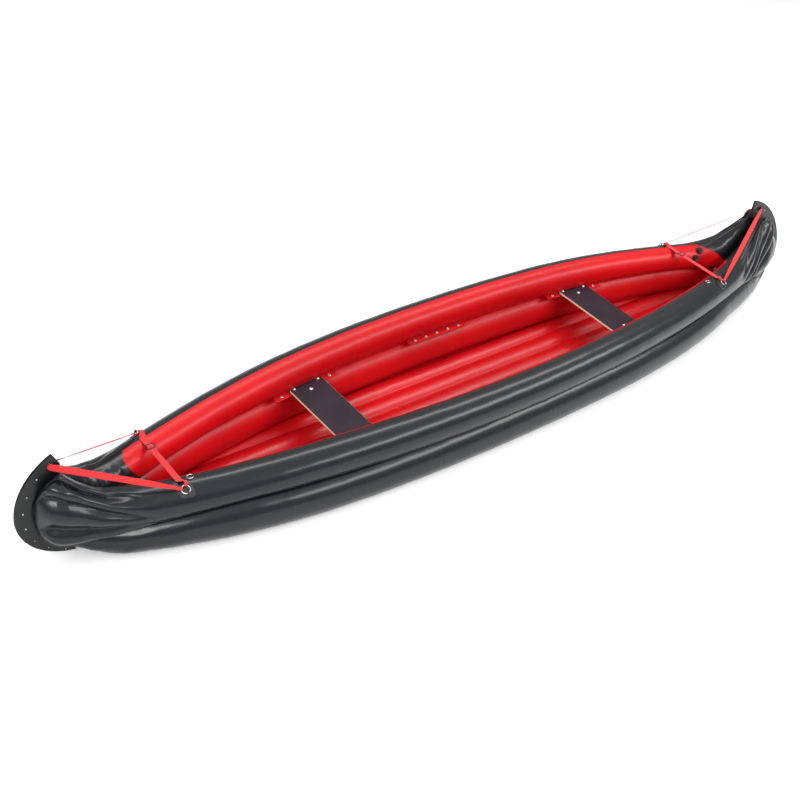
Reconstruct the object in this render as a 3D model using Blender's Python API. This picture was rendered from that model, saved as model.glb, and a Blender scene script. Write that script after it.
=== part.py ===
"""Open inflatable touring canoe: four side tubes, a ribbed floor, stem plates, straps and two seats.

Metres. +X runs towards the bow, +Y to port and +Z up; the origin is on the ground, under the middle
of the overall length. The hull is drawn about its midship section, where the tubes lie widest, and is
then brought over the origin. Its lines are functions of the distance from that section.
"""
import math
from collections import namedtuple

import bmesh
import bpy
from mathutils import Matrix, Vector

# Hull lines. Two tubes pressed on each other stand lower than round ones by TUBE_SQUASH
HALF_LENGTH = 2.300
PLAN_SETBACK = 0.115
PLAN_LENGTH = HALF_LENGTH - PLAN_SETBACK
UPPER_SPREAD = 0.343
LOWER_SPREAD = 0.333
UPPER_RADIUS = 0.083
LOWER_RADIUS = 0.099
TUBE_SQUASH = 0.029
GUNWALE_HEIGHT = 2 * (UPPER_RADIUS + LOWER_RADIUS) - TUBE_SQUASH
ROCKER = 0.016
# Terms in n^2, n^4 and n^6, where n is the distance from midships over PLAN_LENGTH: the tubes' plan
# curves as shares of their spread, and the gunwale's height as shares of its height amidships
UPPER_PLAN = (-0.766, -0.491, 0.189)
LOWER_PLAN = (-0.430, -0.907, 0.194)
GUNWALE_SAG = (0.096, -1.067, 1.041)
# The groove between the tubes drops and the lower tubes end, as shares of the way to the nose
GROOVE_START = 0.640
GROOVE_DROP = 0.186
GROOVE_POWER = 2.1
LOWER_SETBACK = 0.050
LOWER_END = 1 - LOWER_SETBACK
LOWER_ROUNDED = 0.070
LOWER_ROUNDING = LOWER_END - LOWER_ROUNDED
LOWER_TAPER = 0.85
LOWER_TOE = 0.65
FULLNESS_START = 0.72
FULLNESS_POWER = 1.3
NOSE_HALF_BREADTH = 0.112
NOSE_RIDGE = 0.042
TUBE_STATIONS = 40
TUBE_SIDES = 16

# Stems. The plate's outer edge is a superellipse about (centre_x, centre_z): reach is its furthest
# point from midships, rise and depth its half-heights above and below, power its upper exponent. The
# gunwale lifts to it from sheer_start by sheer_lift. The plate runs from top_angle to foot_angle, with
# the straps' slot at slot_angle. fullness spreads the lower tubes where they come together at the toe,
# and ring and tie are where the straps' rings and the small tie-on rings are.
Stem = namedtuple(
    "Stem",
    "centre_x centre_z reach rise depth power top_angle slot_angle foot_angle "
    "sheer_start sheer_lift sheer_power fullness ring tie",
)
BOW_REACH = HALF_LENGTH + 0.060
STERN_REACH = HALF_LENGTH - 0.060
STEMS = {
    1: Stem(
        BOW_REACH - 0.400, 0.135, BOW_REACH, 0.452, 0.130, 1.6, 86, 70, -72,
        0.66, 0.73, 3.8, 0.100, BOW_REACH - 0.812, BOW_REACH - 0.905,
    ),
    -1: Stem(
        STERN_REACH - 0.290, 0.262, STERN_REACH, 0.290, 0.257, 2.0, 62, 54, -76,
        0.82, 0.28, 2.8, 0.010, STERN_REACH - 0.585, STERN_REACH - 0.628,
    ),
}
ENDS = (("bow", 1), ("stern", -1))
SIDES = (("port", 1), ("starboard", -1))
STEM_PLATE_WIDTH = 0.062
NOSE_CLEARANCE = 0.0045
STEM_FOOT_WIDTH = 0.014
STEM_TAPER_ANGLE = -15.0
STEM_STEPS = 28
CHEEK_THICKNESS = 0.004
CORE_THICKNESS = 0.003
CORE_INSET = 0.002
CORE_OVERLAP = 0.045
RIVET_COUNT = 8
RIVET_RADIUS = 0.0025
RIVET_HEAD_RADIUS = 0.0055
RIVET_HEAD_HEIGHT = 0.0022

# Webbing straps at each end
STRAP_WIDTH = 0.026
STRAP_THICKNESS = 0.002
STRAP_END_WIDTH = 0.012
STRAP_TUCK = 0.016
STRAP_LOOP_RADIUS = 0.0042
SLOT_LENGTH = 0.034
SLOT_WIDTH = 0.009
BUCKLE_OFFSET = 0.085
BUCKLE_LENGTH = 0.032
BUCKLE_BREADTH = 0.038
BUCKLE_BAR = 0.004
BUCKLE_MIDDLE_BAR = 0.006
BUCKLE_THICKNESS = 0.003

# Strap rings on the gunwales, and the small tie-on rings beside them
RING_LEAN = 30.0
RING_RADIUS = 0.015
RING_WIRE = 0.002
RING_LIFT = 0.0105
RING_KEEPER_ANGLE = 245.0
TIE_LEAN = -8.0
TIE_RADIUS = 0.011
TIE_WIRE = 0.0016
TIE_LIFT = 0.0055
TIE_KEEPER_ANGLE = 180.0
KEEPER_CLEARANCE = 0.0013
KEEPER_WALL = 0.0022
PATCH_THICKNESS = 0.0018
RING_PATCH_LENGTH = 0.064
RING_PATCH_ARC = 44.0
TIE_PATCH_LENGTH = 0.036
TIE_PATCH_ARC = 22.0

# Seats
SEAT_STATIONS = {"bow": 0.847, "stern": -0.832}
SPARE_RAIL_STATION = -0.045
BOARD_WIDTH = 0.180
BOARD_THICKNESS = 0.010
BOARD_CORNER = 0.014
RAIL_LENGTH = 0.350
RAIL_WIDTH = 0.036
RAIL_THICKNESS = 0.004
RAIL_RISE = 0.020
FLANGE_HEIGHT = 0.018
FLANGE_THICKNESS = 0.0025
EYELET_PITCH = 0.068
EYELET_COUNT = 5
EYELET_RADIUS = 0.0042
EYELET_RIM = 0.0080
EYELET_RISE = 0.0012
BOLT_RADIUS = 0.0030
BOLT_HEAD_RADIUS = 0.0070
BOLT_HEAD_HEIGHT = 0.0032
NUT_RADIUS = 0.0058
NUT_HEIGHT = 0.0050
INNER_BOLT_INSET = 0.050

# Floor
FLOOR_ENDS = (0.270 - STERN_REACH, BOW_REACH - 0.300)
FLOOR_BENDS = (FLOOR_ENDS[0] + 0.370, FLOOR_ENDS[1] - 0.360)
FLOOR_FLAT = 1.200
FLOOR_BOTTOM = 0.004
FLOOR_TOP = 0.050
FLOOR_RIB_PITCH = 0.100
FLOOR_RIBS = 5
FLOOR_RIB_HEIGHT = 0.014
FLOOR_RIB_STEPS = 6
FLOOR_SEAM = 0.0008
FLOOR_TUCK = 0.85

# Valves
VALVE_RADIUS = 0.021
VALVE_HEIGHT = 0.004
VALVE_SEAT = 0.0009
VALVE_NECK_RADIUS = 0.0135
VALVE_NECK_HEIGHT = 0.004
CAP_RADIUS = 0.0165
CAP_HEIGHT = 0.008
CAP_BAR_WIDTH = 0.004
CAP_BAR_HEIGHT = 0.003
CAP_FIT = 0.0006
VALVE_STATION = BOW_REACH - 0.650
VALVE_LEAN = -36.0
STARBOARD_VALVE_LEAN = -76.0
RELIEF_STATION = VALVE_STATION - 0.039
RELIEF_LEAN = -63.0
FLOOR_VALVE_STATION = BOW_REACH - 0.860

# Gap that separate pieces keep
GAP = 0.0003
AXIS_STEPS = 14

COLOURS = {
    "black_fabric": ((0.030, 0.032, 0.035), 0.38, 0.0),
    "red_fabric": ((0.72, 0.030, 0.025), 0.42, 0.0),
    "stem_plastic": ((0.012, 0.012, 0.014), 0.35, 0.0),
    "red_webbing": ((0.70, 0.035, 0.025), 0.75, 0.0),
    "steel": ((0.62, 0.62, 0.64), 0.25, 1.0),
    "plywood": ((0.045, 0.030, 0.032), 0.30, 0.0),
    "valve_plastic": ((0.015, 0.015, 0.016), 0.40, 0.0),
}


def material(name):
    """The named Principled material, made once."""
    found = bpy.data.materials.get(name)
    if found:
        return found
    made = bpy.data.materials.new(name)
    made.use_nodes = True
    colour, roughness, metallic = COLOURS[name]
    shader = made.node_tree.nodes["Principled BSDF"]
    shader.inputs["Base Color"].default_value = (*colour, 1.0)
    shader.inputs["Roughness"].default_value = roughness
    shader.inputs["Metallic"].default_value = metallic
    return made


def collection(name):
    """A collection of the scene, made once."""
    found = bpy.data.collections.get(name)
    if not found:
        found = bpy.data.collections.new(name)
        bpy.context.scene.collection.children.link(found)
    return found


def keep(name, mesh, slot, matrix=None, smooth=None):
    """Link a finished sub-part into the canoe's collection."""
    made = bpy.data.objects.new(name, mesh)
    collection("inflatable_canoe").objects.link(made)
    mesh.materials.clear()
    mesh.materials.append(material(slot))
    if matrix is not None:
        made.matrix_world = matrix
    if smooth is not None:
        mesh.shade_smooth()
        mesh.set_sharp_from_angle(angle=math.radians(smooth))
    return made


def cutter(name, mesh, matrix=None):
    """A hidden operand for a Boolean."""
    made = bpy.data.objects.new(name, mesh)
    collection("cutters").objects.link(made)
    made.hide_render = True
    made.display_type = "WIRE"
    if matrix is not None:
        made.matrix_world = matrix
    return made


def boolean(target, operand, operation):
    step = target.modifiers.new(operation.lower(), "BOOLEAN")
    step.operation = operation
    step.object = operand
    step.solver = "EXACT"


def finished(bm, name):
    """Close a bmesh into a mesh with its faces pointing outwards."""
    bmesh.ops.recalc_face_normals(bm, faces=bm.faces)
    mesh = bpy.data.meshes.new(name)
    bm.to_mesh(mesh)
    bm.free()
    return mesh


def loft(name, rings):
    """A solid through closed rings that all have the same number of points."""
    bm = bmesh.new()
    rows = [[bm.verts.new(p) for p in ring] for ring in rings]
    for near, far in zip(rows, rows[1:]):
        for k in range(len(near)):
            after = (k + 1) % len(near)
            bm.faces.new((near[k], near[after], far[after], far[k]))
    bm.faces.new(rows[0])
    bm.faces.new(rows[-1])
    return finished(bm, name)


def turned(bm, profile, matrix, steps=AXIS_STEPS):
    """Add a turned solid: profile runs from axis to axis as (radius, height) pairs."""
    verts = [bm.verts.new((r, 0.0, h)) for r, h in profile]
    edges = [bm.edges.new(pair) for pair in zip(verts, verts[1:])]
    whole = {"cent": (0, 0, 0), "axis": (0, 0, 1), "angle": 2 * math.pi, "steps": steps, "use_merge": True}
    bmesh.ops.spin(bm, geom=verts + edges, **whole)
    bmesh.ops.remove_doubles(bm, verts=[v for v in bm.verts if not v.tag], dist=1e-6)
    mine = [v for v in bm.verts if not v.tag]
    bmesh.ops.transform(bm, matrix=matrix, verts=mine)
    for v in mine:
        v.tag = True


def turned_mesh(name, profile, places=(Matrix(),), steps=AXIS_STEPS):
    """One mesh with a turned solid at each place."""
    bm = bmesh.new()
    for place in places:
        turned(bm, profile, place, steps)
    return finished(bm, name)


def box_mesh(name, size, matrix=Matrix()):
    bm = bmesh.new()
    bmesh.ops.create_cube(bm, size=1.0, matrix=matrix @ Matrix.Diagonal((*size, 1.0)))
    return finished(bm, name)


def plate_mesh(name, loops, thickness):
    """A flat plate in the XY plane, centred on z = 0: the first loop is its edge, the others are holes."""
    outline = bpy.data.curves.new(name, "CURVE")
    outline.dimensions = "2D"
    outline.fill_mode = "BOTH"
    outline.extrude = thickness / 2
    for loop in loops:
        spline = outline.splines.new("POLY")
        spline.points.add(len(loop) - 1)
        for point, (x, y) in zip(spline.points, loop):
            point.co = (x, y, 0.0, 1.0)
        spline.use_cyclic_u = True
    drawn = bpy.data.objects.new(name, outline)
    bpy.context.scene.collection.objects.link(drawn)
    bpy.context.view_layer.update()
    raw = bpy.data.meshes.new_from_object(drawn.evaluated_get(bpy.context.evaluated_depsgraph_get()))
    bm = bmesh.new()
    bm.from_mesh(raw)
    bmesh.ops.remove_doubles(bm, verts=bm.verts, dist=1e-6)
    bpy.data.objects.remove(drawn)
    bpy.data.meshes.remove(raw)
    return finished(bm, name)


def circle(centre, radius, steps=AXIS_STEPS):
    turn = [2 * math.pi * k / steps for k in range(steps)]
    return [(centre[0] + radius * math.cos(a), centre[1] + radius * math.sin(a)) for a in turn]


def smooth_max(a, b, width):
    return 0.5 * (a + b + math.sqrt((a - b) ** 2 + width**2))


def smooth_min(a, b, width):
    return -smooth_max(-a, -b, width)


def past(n, start):
    """How far n lies between start and 1, from 0 to 1."""
    return max(0.0, (n - start) / (1 - start))


def past_between(n, start, end):
    return min(1.0, max(0.0, (n - start) / (end - start)))


def plan(n, spread, terms):
    """Half-breadth of a tube's centre line at station n."""
    return spread * (1 + sum(c * n ** (2 * k + 2) for k, c in enumerate(terms)))


def stem_point(stem, angle, inset, foot_inset):
    """A point of the stem plate, drawn in from its outer edge by inset, and by foot_inset at its foot."""
    a = math.radians(angle)
    taper = past_between(-angle, -STEM_TAPER_ANGLE, -stem.foot_angle)
    width = inset + (foot_inset - inset) * taper
    power, height = (stem.power, stem.rise) if angle > 0 else (2.0, -stem.depth)
    across, up = math.cos(a) ** (2 / power), abs(math.sin(a)) ** (2 / power)
    return (
        stem.centre_x + (stem.reach - stem.centre_x - width) * across,
        stem.centre_z + (abs(height) - width) * up * (1 if height > 0 else -1),
    )


def stem_edge(stem, first, last, inset, foot_inset, steps=STEM_STEPS):
    """Points along the plate from the angle first to the angle last, evenly spaced along their arc."""
    fine = [stem_point(stem, first + (last - first) * k / 400, inset, foot_inset) for k in range(401)]
    run = [0.0]
    for p, q in zip(fine, fine[1:]):
        run.append(run[-1] + math.dist(p, q))
    points = []
    for k in range(steps + 1):
        want = run[-1] * k / steps
        points.append(min(zip(run, fine), key=lambda pair: abs(pair[0] - want))[1])
    return points


# Sections: the two tubes of a side meet on a seam, and the port and starboard ones in the centre plane
UPPER_CENTRE_Z = GUNWALE_HEIGHT - UPPER_RADIUS
CENTRE_SPACING = UPPER_CENTRE_Z - LOWER_RADIUS
GROOVE_DISTANCE = (CENTRE_SPACING**2 + UPPER_RADIUS**2 - LOWER_RADIUS**2) / (2 * CENTRE_SPACING)
GROOVE_HEIGHT = UPPER_CENTRE_Z - GROOVE_DISTANCE
UPPER_CUT = GROOVE_DISTANCE / UPPER_RADIUS
LOWER_CUT = (GROOVE_HEIGHT - LOWER_RADIUS) / LOWER_RADIUS
NOSE_CUT = 0.94
STEM_SEAM = CORE_THICKNESS / 2 + GAP
CHEEK_FACE = STEM_SEAM + CHEEK_THICKNESS
LAST_STATION = 0.9985
MIDDLE = (STEMS[1].reach - STEMS[-1].reach) / 2


def nose(x):
    """Distance from midships of the fabric's nose at x's end of the hull."""
    return STEMS[1 if x > 0 else -1].reach - STEM_PLATE_WIDTH - NOSE_CLEARANCE


def hull_stations():
    """Stations along the hull, closer towards the noses, with one where the lower tubes end."""
    steps = TUBE_STATIONS // 2
    ns = [math.sin(math.pi / 2 * k / steps) for k in range(steps)] + [LAST_STATION]
    nearest = min(range(1, len(ns)), key=lambda k: abs(ns[k] - LOWER_END))
    ns[nearest] = LOWER_END
    return [-n * nose(-1) for n in reversed(ns[1:])] + [n * nose(1) for n in ns]


def groove_height(x):
    drop = GROOVE_DROP * past(abs(x) / nose(x), GROOVE_START) ** GROOVE_POWER
    return GROOVE_HEIGHT + ROCKER * (abs(x) / PLAN_LENGTH) ** 4 / 2 - drop


NOSE_EDGES = {}
for nose_end, nose_stem in STEMS.items():
    NOSE_EDGES[nose_end] = stem_edge(
        nose_stem, 90, -90, STEM_PLATE_WIDTH + NOSE_CLEARANCE, STEM_FOOT_WIDTH + NOSE_CLEARANCE, 2 * STEM_STEPS
    )


def nose_heights(x):
    """Heights of the fabric nose's upper and lower edges at x, inside the stem plate's inner edge."""
    edge = NOSE_EDGES[1 if x > 0 else -1]
    found = []
    for p, q in zip(edge, edge[1:]):
        if min(p[0], q[0]) <= abs(x) <= max(p[0], q[0]) and p[0] != q[0]:
            found.append(p[1] + (q[1] - p[1]) * (abs(x) - p[0]) / (q[0] - p[0]))
    return (max(found), min(found)) if found else (edge[0][1], edge[-1][1])


def nose_closure(x):
    """Share of the nose's breadth left at x, an ellipse from 1 to 0."""
    centre = STEMS[1 if x > 0 else -1].centre_x
    return math.sqrt(1 - max(0.0, (abs(x) - centre) / (nose(x) - centre)) ** 2)


def upper_shape(x):
    """Upper tube's section: centre y and z, outboard, inboard, upward and downward radii, seam height."""
    stem = STEMS[1 if x > 0 else -1]
    n, way = abs(x) / PLAN_LENGTH, abs(x) / nose(x)
    close = nose_closure(x)
    highest, lowest = nose_heights(x)
    centre = plan(n, UPPER_SPREAD, UPPER_PLAN)
    level = plan(n, GUNWALE_HEIGHT, GUNWALE_SAG)
    gunwale = level + stem.sheer_lift * past(way, stem.sheer_start) ** stem.sheer_power
    top = smooth_min(gunwale, highest, 0.006)
    seam = smooth_max(groove_height(x), lowest, 0.004)
    middle = level - UPPER_RADIUS + (stem.centre_z - level + UPPER_RADIUS) * past(way, stem.sheer_start) ** 2
    y = smooth_max(centre, NOSE_RIDGE, 0.004) * close
    outer = smooth_max(centre + UPPER_RADIUS, NOSE_HALF_BREADTH, 0.010) * close
    inner = smooth_min(UPPER_RADIUS, y - STEM_SEAM, 0.004)
    cut = UPPER_CUT + (NOSE_CUT - UPPER_CUT) * past(way, LOWER_END)
    return [y, middle, outer - y, max(inner, 0.0005), top - middle, (middle - seam) / cut, seam]


def lower_shape(x):
    """Lower tube's section: centre y and z, outboard, inboard, vertical radii, seam height."""
    n = abs(x) / PLAN_LENGTH
    way = abs(x) / nose(x)
    tail = past_between(way, LOWER_ROUNDING, LOWER_END)
    round_off = math.sqrt(1 - LOWER_TAPER * tail**2)
    seam = groove_height(x)
    keel = ROCKER * n**4
    keel += (seam - keel) * LOWER_TOE * (1 - round_off)
    radius = (seam - keel) / (1 + LOWER_CUT)
    full = STEMS[1 if x > 0 else -1].fullness * past(way, FULLNESS_START) ** FULLNESS_POWER
    centre = (plan(n, LOWER_SPREAD, LOWER_PLAN) + full) * round_off
    centre = smooth_max(centre, CHEEK_FACE + 0.018, 0.010)
    inner = smooth_min(radius, centre - CHEEK_FACE - GAP, 0.004) * round_off
    return [centre, keel + radius, radius * round_off, inner, radius, radius, seam]


STATIONS = hull_stations()
UPPER = [upper_shape(x) for x in STATIONS]
LOWER = [lower_shape(max(-LOWER_END * nose(-1), min(x, LOWER_END * nose(1)))) for x in STATIONS]


def between(table, x):
    """The section at x, read between stations as the lofted tubes run."""
    for k in range(len(STATIONS) - 1):
        if STATIONS[k] <= x <= STATIONS[k + 1]:
            t = (x - STATIONS[k]) / (STATIONS[k + 1] - STATIONS[k])
            return [a + (b - a) * t for a, b in zip(table[k], table[k + 1])]
    raise ValueError(x)


def upper_ring(x, side, shape):
    """Points of an upper section from its outboard seam corner, over the top, to the inboard one."""
    y, z, outer, inner, up, down, seam = shape
    start = math.asin((z - seam - GAP / 2) / down)
    points = []
    for k in range(TUBE_SIDES):
        a = -start + (math.pi + 2 * start) * k / (TUBE_SIDES - 1)
        wide = outer if math.cos(a) > 0 else inner
        high = up if math.sin(a) > 0 else down
        points.append((x, side * (y + wide * math.cos(a)), z + high * math.sin(a)))
    return points


def lower_ring(x, side, shape):
    """Points of a lower section from its outboard seam corner, under the bottom, to the inboard one."""
    y, z, outer, inner, radius, _, seam = shape
    start = math.asin((seam - GAP / 2 - z) / radius)
    points = []
    for k in range(TUBE_SIDES):
        a = start - (math.pi + 2 * start) * k / (TUBE_SIDES - 1)
        wide = outer if math.cos(a) > 0 else inner
        points.append((x, side * (y + wide * math.cos(a)), z + radius * math.sin(a)))
    return points


def side_tubes():
    for word, side in SIDES:
        rings = [upper_ring(x, side, s) for x, s in zip(STATIONS, UPPER)]
        keep(f"{word}_upper_tube", loft("upper", rings), "black_fabric", smooth=50)
        rings = [
            lower_ring(x, side, s) for x, s in zip(STATIONS, LOWER) if abs(x) <= LOWER_END * nose(x) + 1e-6
        ]
        keep(f"{word}_lower_tube", loft("lower", rings), "black_fabric", smooth=50)


def floor_edge(x, z):
    """Half-breadth of the floor at height z: beside the lower tube, but not tucked far under it."""
    y, centre, _, inner, radius, _, _ = between(LOWER, x)
    below = min(FLOOR_TUCK, (centre - z) / radius)
    return y - inner * math.sqrt(max(0.0, 1 - below**2)) - FLOOR_SEAM


def floor_lift(x):
    """How far the floor's ends rise with the keel beyond its flat part."""
    return ROCKER * (max(abs(x), FLOOR_FLAT) ** 4 - FLOOR_FLAT**4) / PLAN_LENGTH**4


def floor_chamber():
    """Ribbed mattress: a scalloped profile along x, trimmed to the space between the lower tubes."""
    span = FLOOR_RIBS * FLOOR_RIB_PITCH / 2
    count = FLOOR_RIBS * FLOOR_RIB_STEPS
    top = []
    for k in range(count + 1):
        y = -span + 2 * span * k / count
        arch = abs(math.cos(math.pi * y / FLOOR_RIB_PITCH)) ** 0.8
        top.append((y, FLOOR_TOP - FLOOR_RIB_HEIGHT * (1 - arch)))
    wide = FLOOR_RIB_PITCH
    top = [(-span - wide, top[0][1])] + top + [(span + wide, top[-1][1])]
    outline = top + [(span + wide, FLOOR_BOTTOM), (-span - wide, FLOOR_BOTTOM)]
    rings = []
    level_part = (-FLOOR_FLAT, FLOOR_FLAT, FLOOR_VALVE_STATION)
    for x in (FLOOR_ENDS[0], FLOOR_BENDS[0], *level_part, FLOOR_BENDS[1], FLOOR_ENDS[1]):
        rings.append([(x, y, z + floor_lift(x)) for y, z in outline])
    floor = keep("floor_chamber", loft("floor", rings), "red_fabric", smooth=40)
    levels = [FLOOR_BOTTOM + (FLOOR_TOP - FLOOR_BOTTOM) * (k - 0.5) / 6 for k in range(8)]
    first, last = FLOOR_ENDS[0] - 0.01, FLOOR_ENDS[1] + 0.01
    xs = [first] + [x for x in STATIONS if first < x < last] + [last]
    walls = []
    for x in xs:
        lift = floor_lift(x)
        right = [(x, floor_edge(x, z + lift), z + lift) for z in levels]
        walls.append(right + [(px, -py, pz) for px, py, pz in reversed(right)])
    boolean(floor, cutter("floor_trim", loft("floor_trim", walls)), "INTERSECT")
    return floor


def surface_frame(side, end, station, lean):
    """Point and axes on an upper tube: towards the stem, inboard across the tube, and outwards."""
    x = end * station
    y, z, outer, inner, up, down, _ = between(UPPER, x)
    a = math.radians(90 - lean)
    wide = outer if lean > 0 else inner
    high = up if math.sin(a) > 0 else down
    point = Vector((x, side * (y + wide * math.cos(a)), z + high * math.sin(a)))
    ahead = between(UPPER, x + end * 0.01)
    run = Vector((end * 0.01, side * (ahead[0] - y), ahead[1] - z)).normalized()
    out = Vector((0, side * math.cos(a) / wide, math.sin(a) / high)).normalized()
    out = (out - run * out.dot(run)).normalized()
    inboard = run.cross(out)
    if inboard.y * side > 0:
        inboard.negate()
    return point, run, inboard, out


def ring_frame(side, end):
    point, run, inboard, out = surface_frame(side, end, STEMS[end].ring, RING_LEAN)
    return point + out * RING_LIFT, run, inboard, out


def slot_pull(end):
    """Unit vector in the centre plane from the strap slot towards the rings, and the slot's long axis."""
    middle = STEM_PLATE_WIDTH / 2
    x, z = stem_point(STEMS[end], STEMS[end].slot_angle, middle, middle)
    slot = Vector((end * x, 0, z))
    pull = ring_frame(1, end)[0] - slot
    pull.y = 0
    pull.normalize()
    return slot, pull, Vector((-pull.z, 0, pull.x)) * end * -1


def stem_plates():
    """Two cheeks and a core at each end, with rivets that stand in the core."""
    sideways = Matrix.Rotation(math.pi / 2, 4, "X")
    middle, foot = STEM_PLATE_WIDTH / 2, STEM_FOOT_WIDTH / 2
    for word, end in ENDS:
        stem = STEMS[end]
        first, last = stem.top_angle, stem.foot_angle
        rivets = [
            (end * x, z) for x, z in stem_edge(stem, first - 5, last + 9, middle, foot, RIVET_COUNT - 1)
        ]
        centre, pull, along = slot_pull(end)
        slot = []
        for u, v in ((1, 1), (1, -1), (-1, -1), (-1, 1)):
            corner = centre + along * (u * SLOT_LENGTH / 2) + pull * (v * SLOT_WIDTH / 2)
            slot.append((corner.x, corner.z))
        outer = stem_edge(stem, first, last, 0, 0)
        inner = stem_edge(stem, first, last, STEM_PLATE_WIDTH, STEM_FOOT_WIDTH)[::-1]
        holes = [circle(p, RIVET_RADIUS + GAP, 8) for p in rivets]
        edge = [(end * x, z) for x, z in outer + inner]
        cheek = plate_mesh("cheek", [edge, slot, *holes], CHEEK_THICKNESS)
        outer = stem_edge(stem, first - 3, last + 2, CORE_INSET, CORE_INSET)
        inner = stem_edge(stem, first - 3, last + 2, STEM_PLATE_WIDTH + CORE_OVERLAP, STEM_FOOT_WIDTH)[::-1]
        edge = [(end * x, z) for x, z in outer + inner]
        core = plate_mesh("core", [edge, slot], CORE_THICKNESS)
        for mesh in (cheek, core):
            mesh.transform(sideways)
        offset = STEM_SEAM + CHEEK_THICKNESS / 2
        for side_word, side in SIDES:
            keep(f"{word}_cheek_{side_word}", cheek.copy(), "stem_plastic", Matrix.Translation((0, side * offset, 0)))
        head = CHEEK_FACE + GAP
        half = [(0, head + RIVET_HEAD_HEIGHT), (RIVET_HEAD_RADIUS * 0.7, head + RIVET_HEAD_HEIGHT * 0.7)]
        half += [(RIVET_HEAD_RADIUS, head), (RIVET_RADIUS, head)]
        profile = half + [(r, -h) for r, h in reversed(half)]
        places = [Matrix.Translation((x, 0, z)) @ sideways for x, z in rivets]
        body = keep(f"{word}_stem_core", core, "stem_plastic")
        boolean(body, cutter(f"{word}_rivets", turned_mesh("rivets", profile, places, 8)), "UNION")


def ribbon(name, stations, slot):
    """Flat webbing through stations of (centre, across, width)."""
    centres = [s[0] for s in stations]
    rings = []
    for k, (centre, across, width) in enumerate(stations):
        before = (centre - centres[k - 1]).normalized() if k else None
        after = (centres[k + 1] - centre).normalized() if k + 1 < len(centres) else None
        tangent = ((before or after) + (after or before)).normalized()
        bend = math.sqrt(max(0.3, (1 + before.dot(after)) / 2)) if before and after else 1.0
        across = (across - tangent * across.dot(tangent)).normalized()
        normal = tangent.cross(across) * (STRAP_THICKNESS / 2 / bend)
        side = across * (width / 2)
        rings.append([centre + side + normal, centre + side - normal, centre - side - normal, centre - side + normal])
    return keep(name, loft(name, rings), slot)


def strap_loop(centre, direction, out):
    """Stations of a strap's end round a ring's wire: from under the wire, round it and back on top."""
    direction = (direction - out * direction.dot(out)).normalized()
    across = out.cross(direction)
    wire = centre + direction * (RING_RADIUS + RING_WIRE)
    reach = STRAP_LOOP_RADIUS + STRAP_THICKNESS / 2
    stations = [(wire + direction * STRAP_TUCK - out * reach, across, STRAP_END_WIDTH)]
    for angle in (270, 235, 205, 180, 155, 125, 90):
        a = math.radians(angle)
        stations.append((wire + (direction * math.cos(a) + out * math.sin(a)) * reach, across, STRAP_END_WIDTH))
    stations.append((wire + direction * STRAP_TUCK + out * reach, across, STRAP_END_WIDTH))
    return stations


def blend_across(a, b, t):
    if a.dot(b) < 0:
        b = -b
    return (a * (1 - t) + b * t).normalized()


def diagonal_straps():
    """One strap at each end, from the port ring through the stem plate's slot to the starboard ring."""
    for word, end in ENDS:
        slot, pull, along = slot_pull(end)
        halves = []
        for side in (1, -1):
            centre, _, _, out = ring_frame(side, end)
            mouth = slot + Vector((0, side * (CHEEK_FACE + 0.0060), 0)) + pull * 0.0055
            stations = strap_loop(centre, mouth - centre, out)
            start, across = stations[-1][0], stations[-1][1]
            for t in (0.10, 0.25, 0.45, 0.65, 0.80, 0.90, 0.97):
                width = STRAP_END_WIDTH + (STRAP_WIDTH - STRAP_END_WIDTH) * min(1.0, t * 5)
                stations.append((start.lerp(mouth, t), blend_across(across, along, t**8), width))
            stations.append((mouth, along, STRAP_WIDTH))
            stations.append((slot + Vector((0, side * (CHEEK_FACE - 0.001), 0)), along, STRAP_WIDTH))
            halves.append(stations)
        joined = halves[0] + [(slot, along, STRAP_WIDTH)] + halves[1][::-1]
        aligned = []
        for centre, across, width in joined:
            if aligned and aligned[-1][1].dot(across) < 0:
                across = -across
            aligned.append((centre, across, width))
        ribbon(f"{word}_diagonal_strap", aligned, "red_webbing")


def cross_straps():
    """One strap at each end from gunwale ring to gunwale ring, through a ladder buckle."""
    for word, end in ENDS:
        halves = []
        for side in (1, -1):
            centre, run, inboard, out = ring_frame(side, end)
            x = centre.x
            y, z, _, _, up, _, _ = between(UPPER, x)
            level = z + up + STRAP_THICKNESS / 2 + 0.0012
            stations = strap_loop(centre, inboard - run * 0.18, out)
            start, across = stations[-1][0], stations[-1][1]
            top = Vector((x, side * (y - 0.004), level))
            stations.append((start.lerp(top, 0.55), blend_across(across, Vector((1, 0, 0)), 0.5), STRAP_WIDTH))
            stations.append((top, Vector((1, 0, 0)), STRAP_WIDTH))
            halves.append(stations)
        x = end * STEMS[end].ring
        lift = BUCKLE_THICKNESS + 2 * GAP + STRAP_THICKNESS
        inner, outer = BUCKLE_MIDDLE_BAR / 2 + 0.002, BUCKLE_LENGTH / 2 - BUCKLE_BAR - 0.002
        weave = [(outer, 0), (inner, lift), (-inner, lift), (-outer, 0)]
        middle = [(Vector((x, BUCKLE_OFFSET + dy, level + dz)), Vector((1, 0, 0)), STRAP_WIDTH) for dy, dz in weave]
        aligned = []
        for centre, across, width in halves[0] + middle + halves[1][::-1]:
            if aligned and aligned[-1][1].dot(across) < 0:
                across = -across
            aligned.append((centre, across, width))
        ribbon(f"{word}_cross_strap", aligned, "red_webbing")
        buckle(f"{word}_buckle", Vector((x, BUCKLE_OFFSET, level + lift / 2)))


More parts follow.
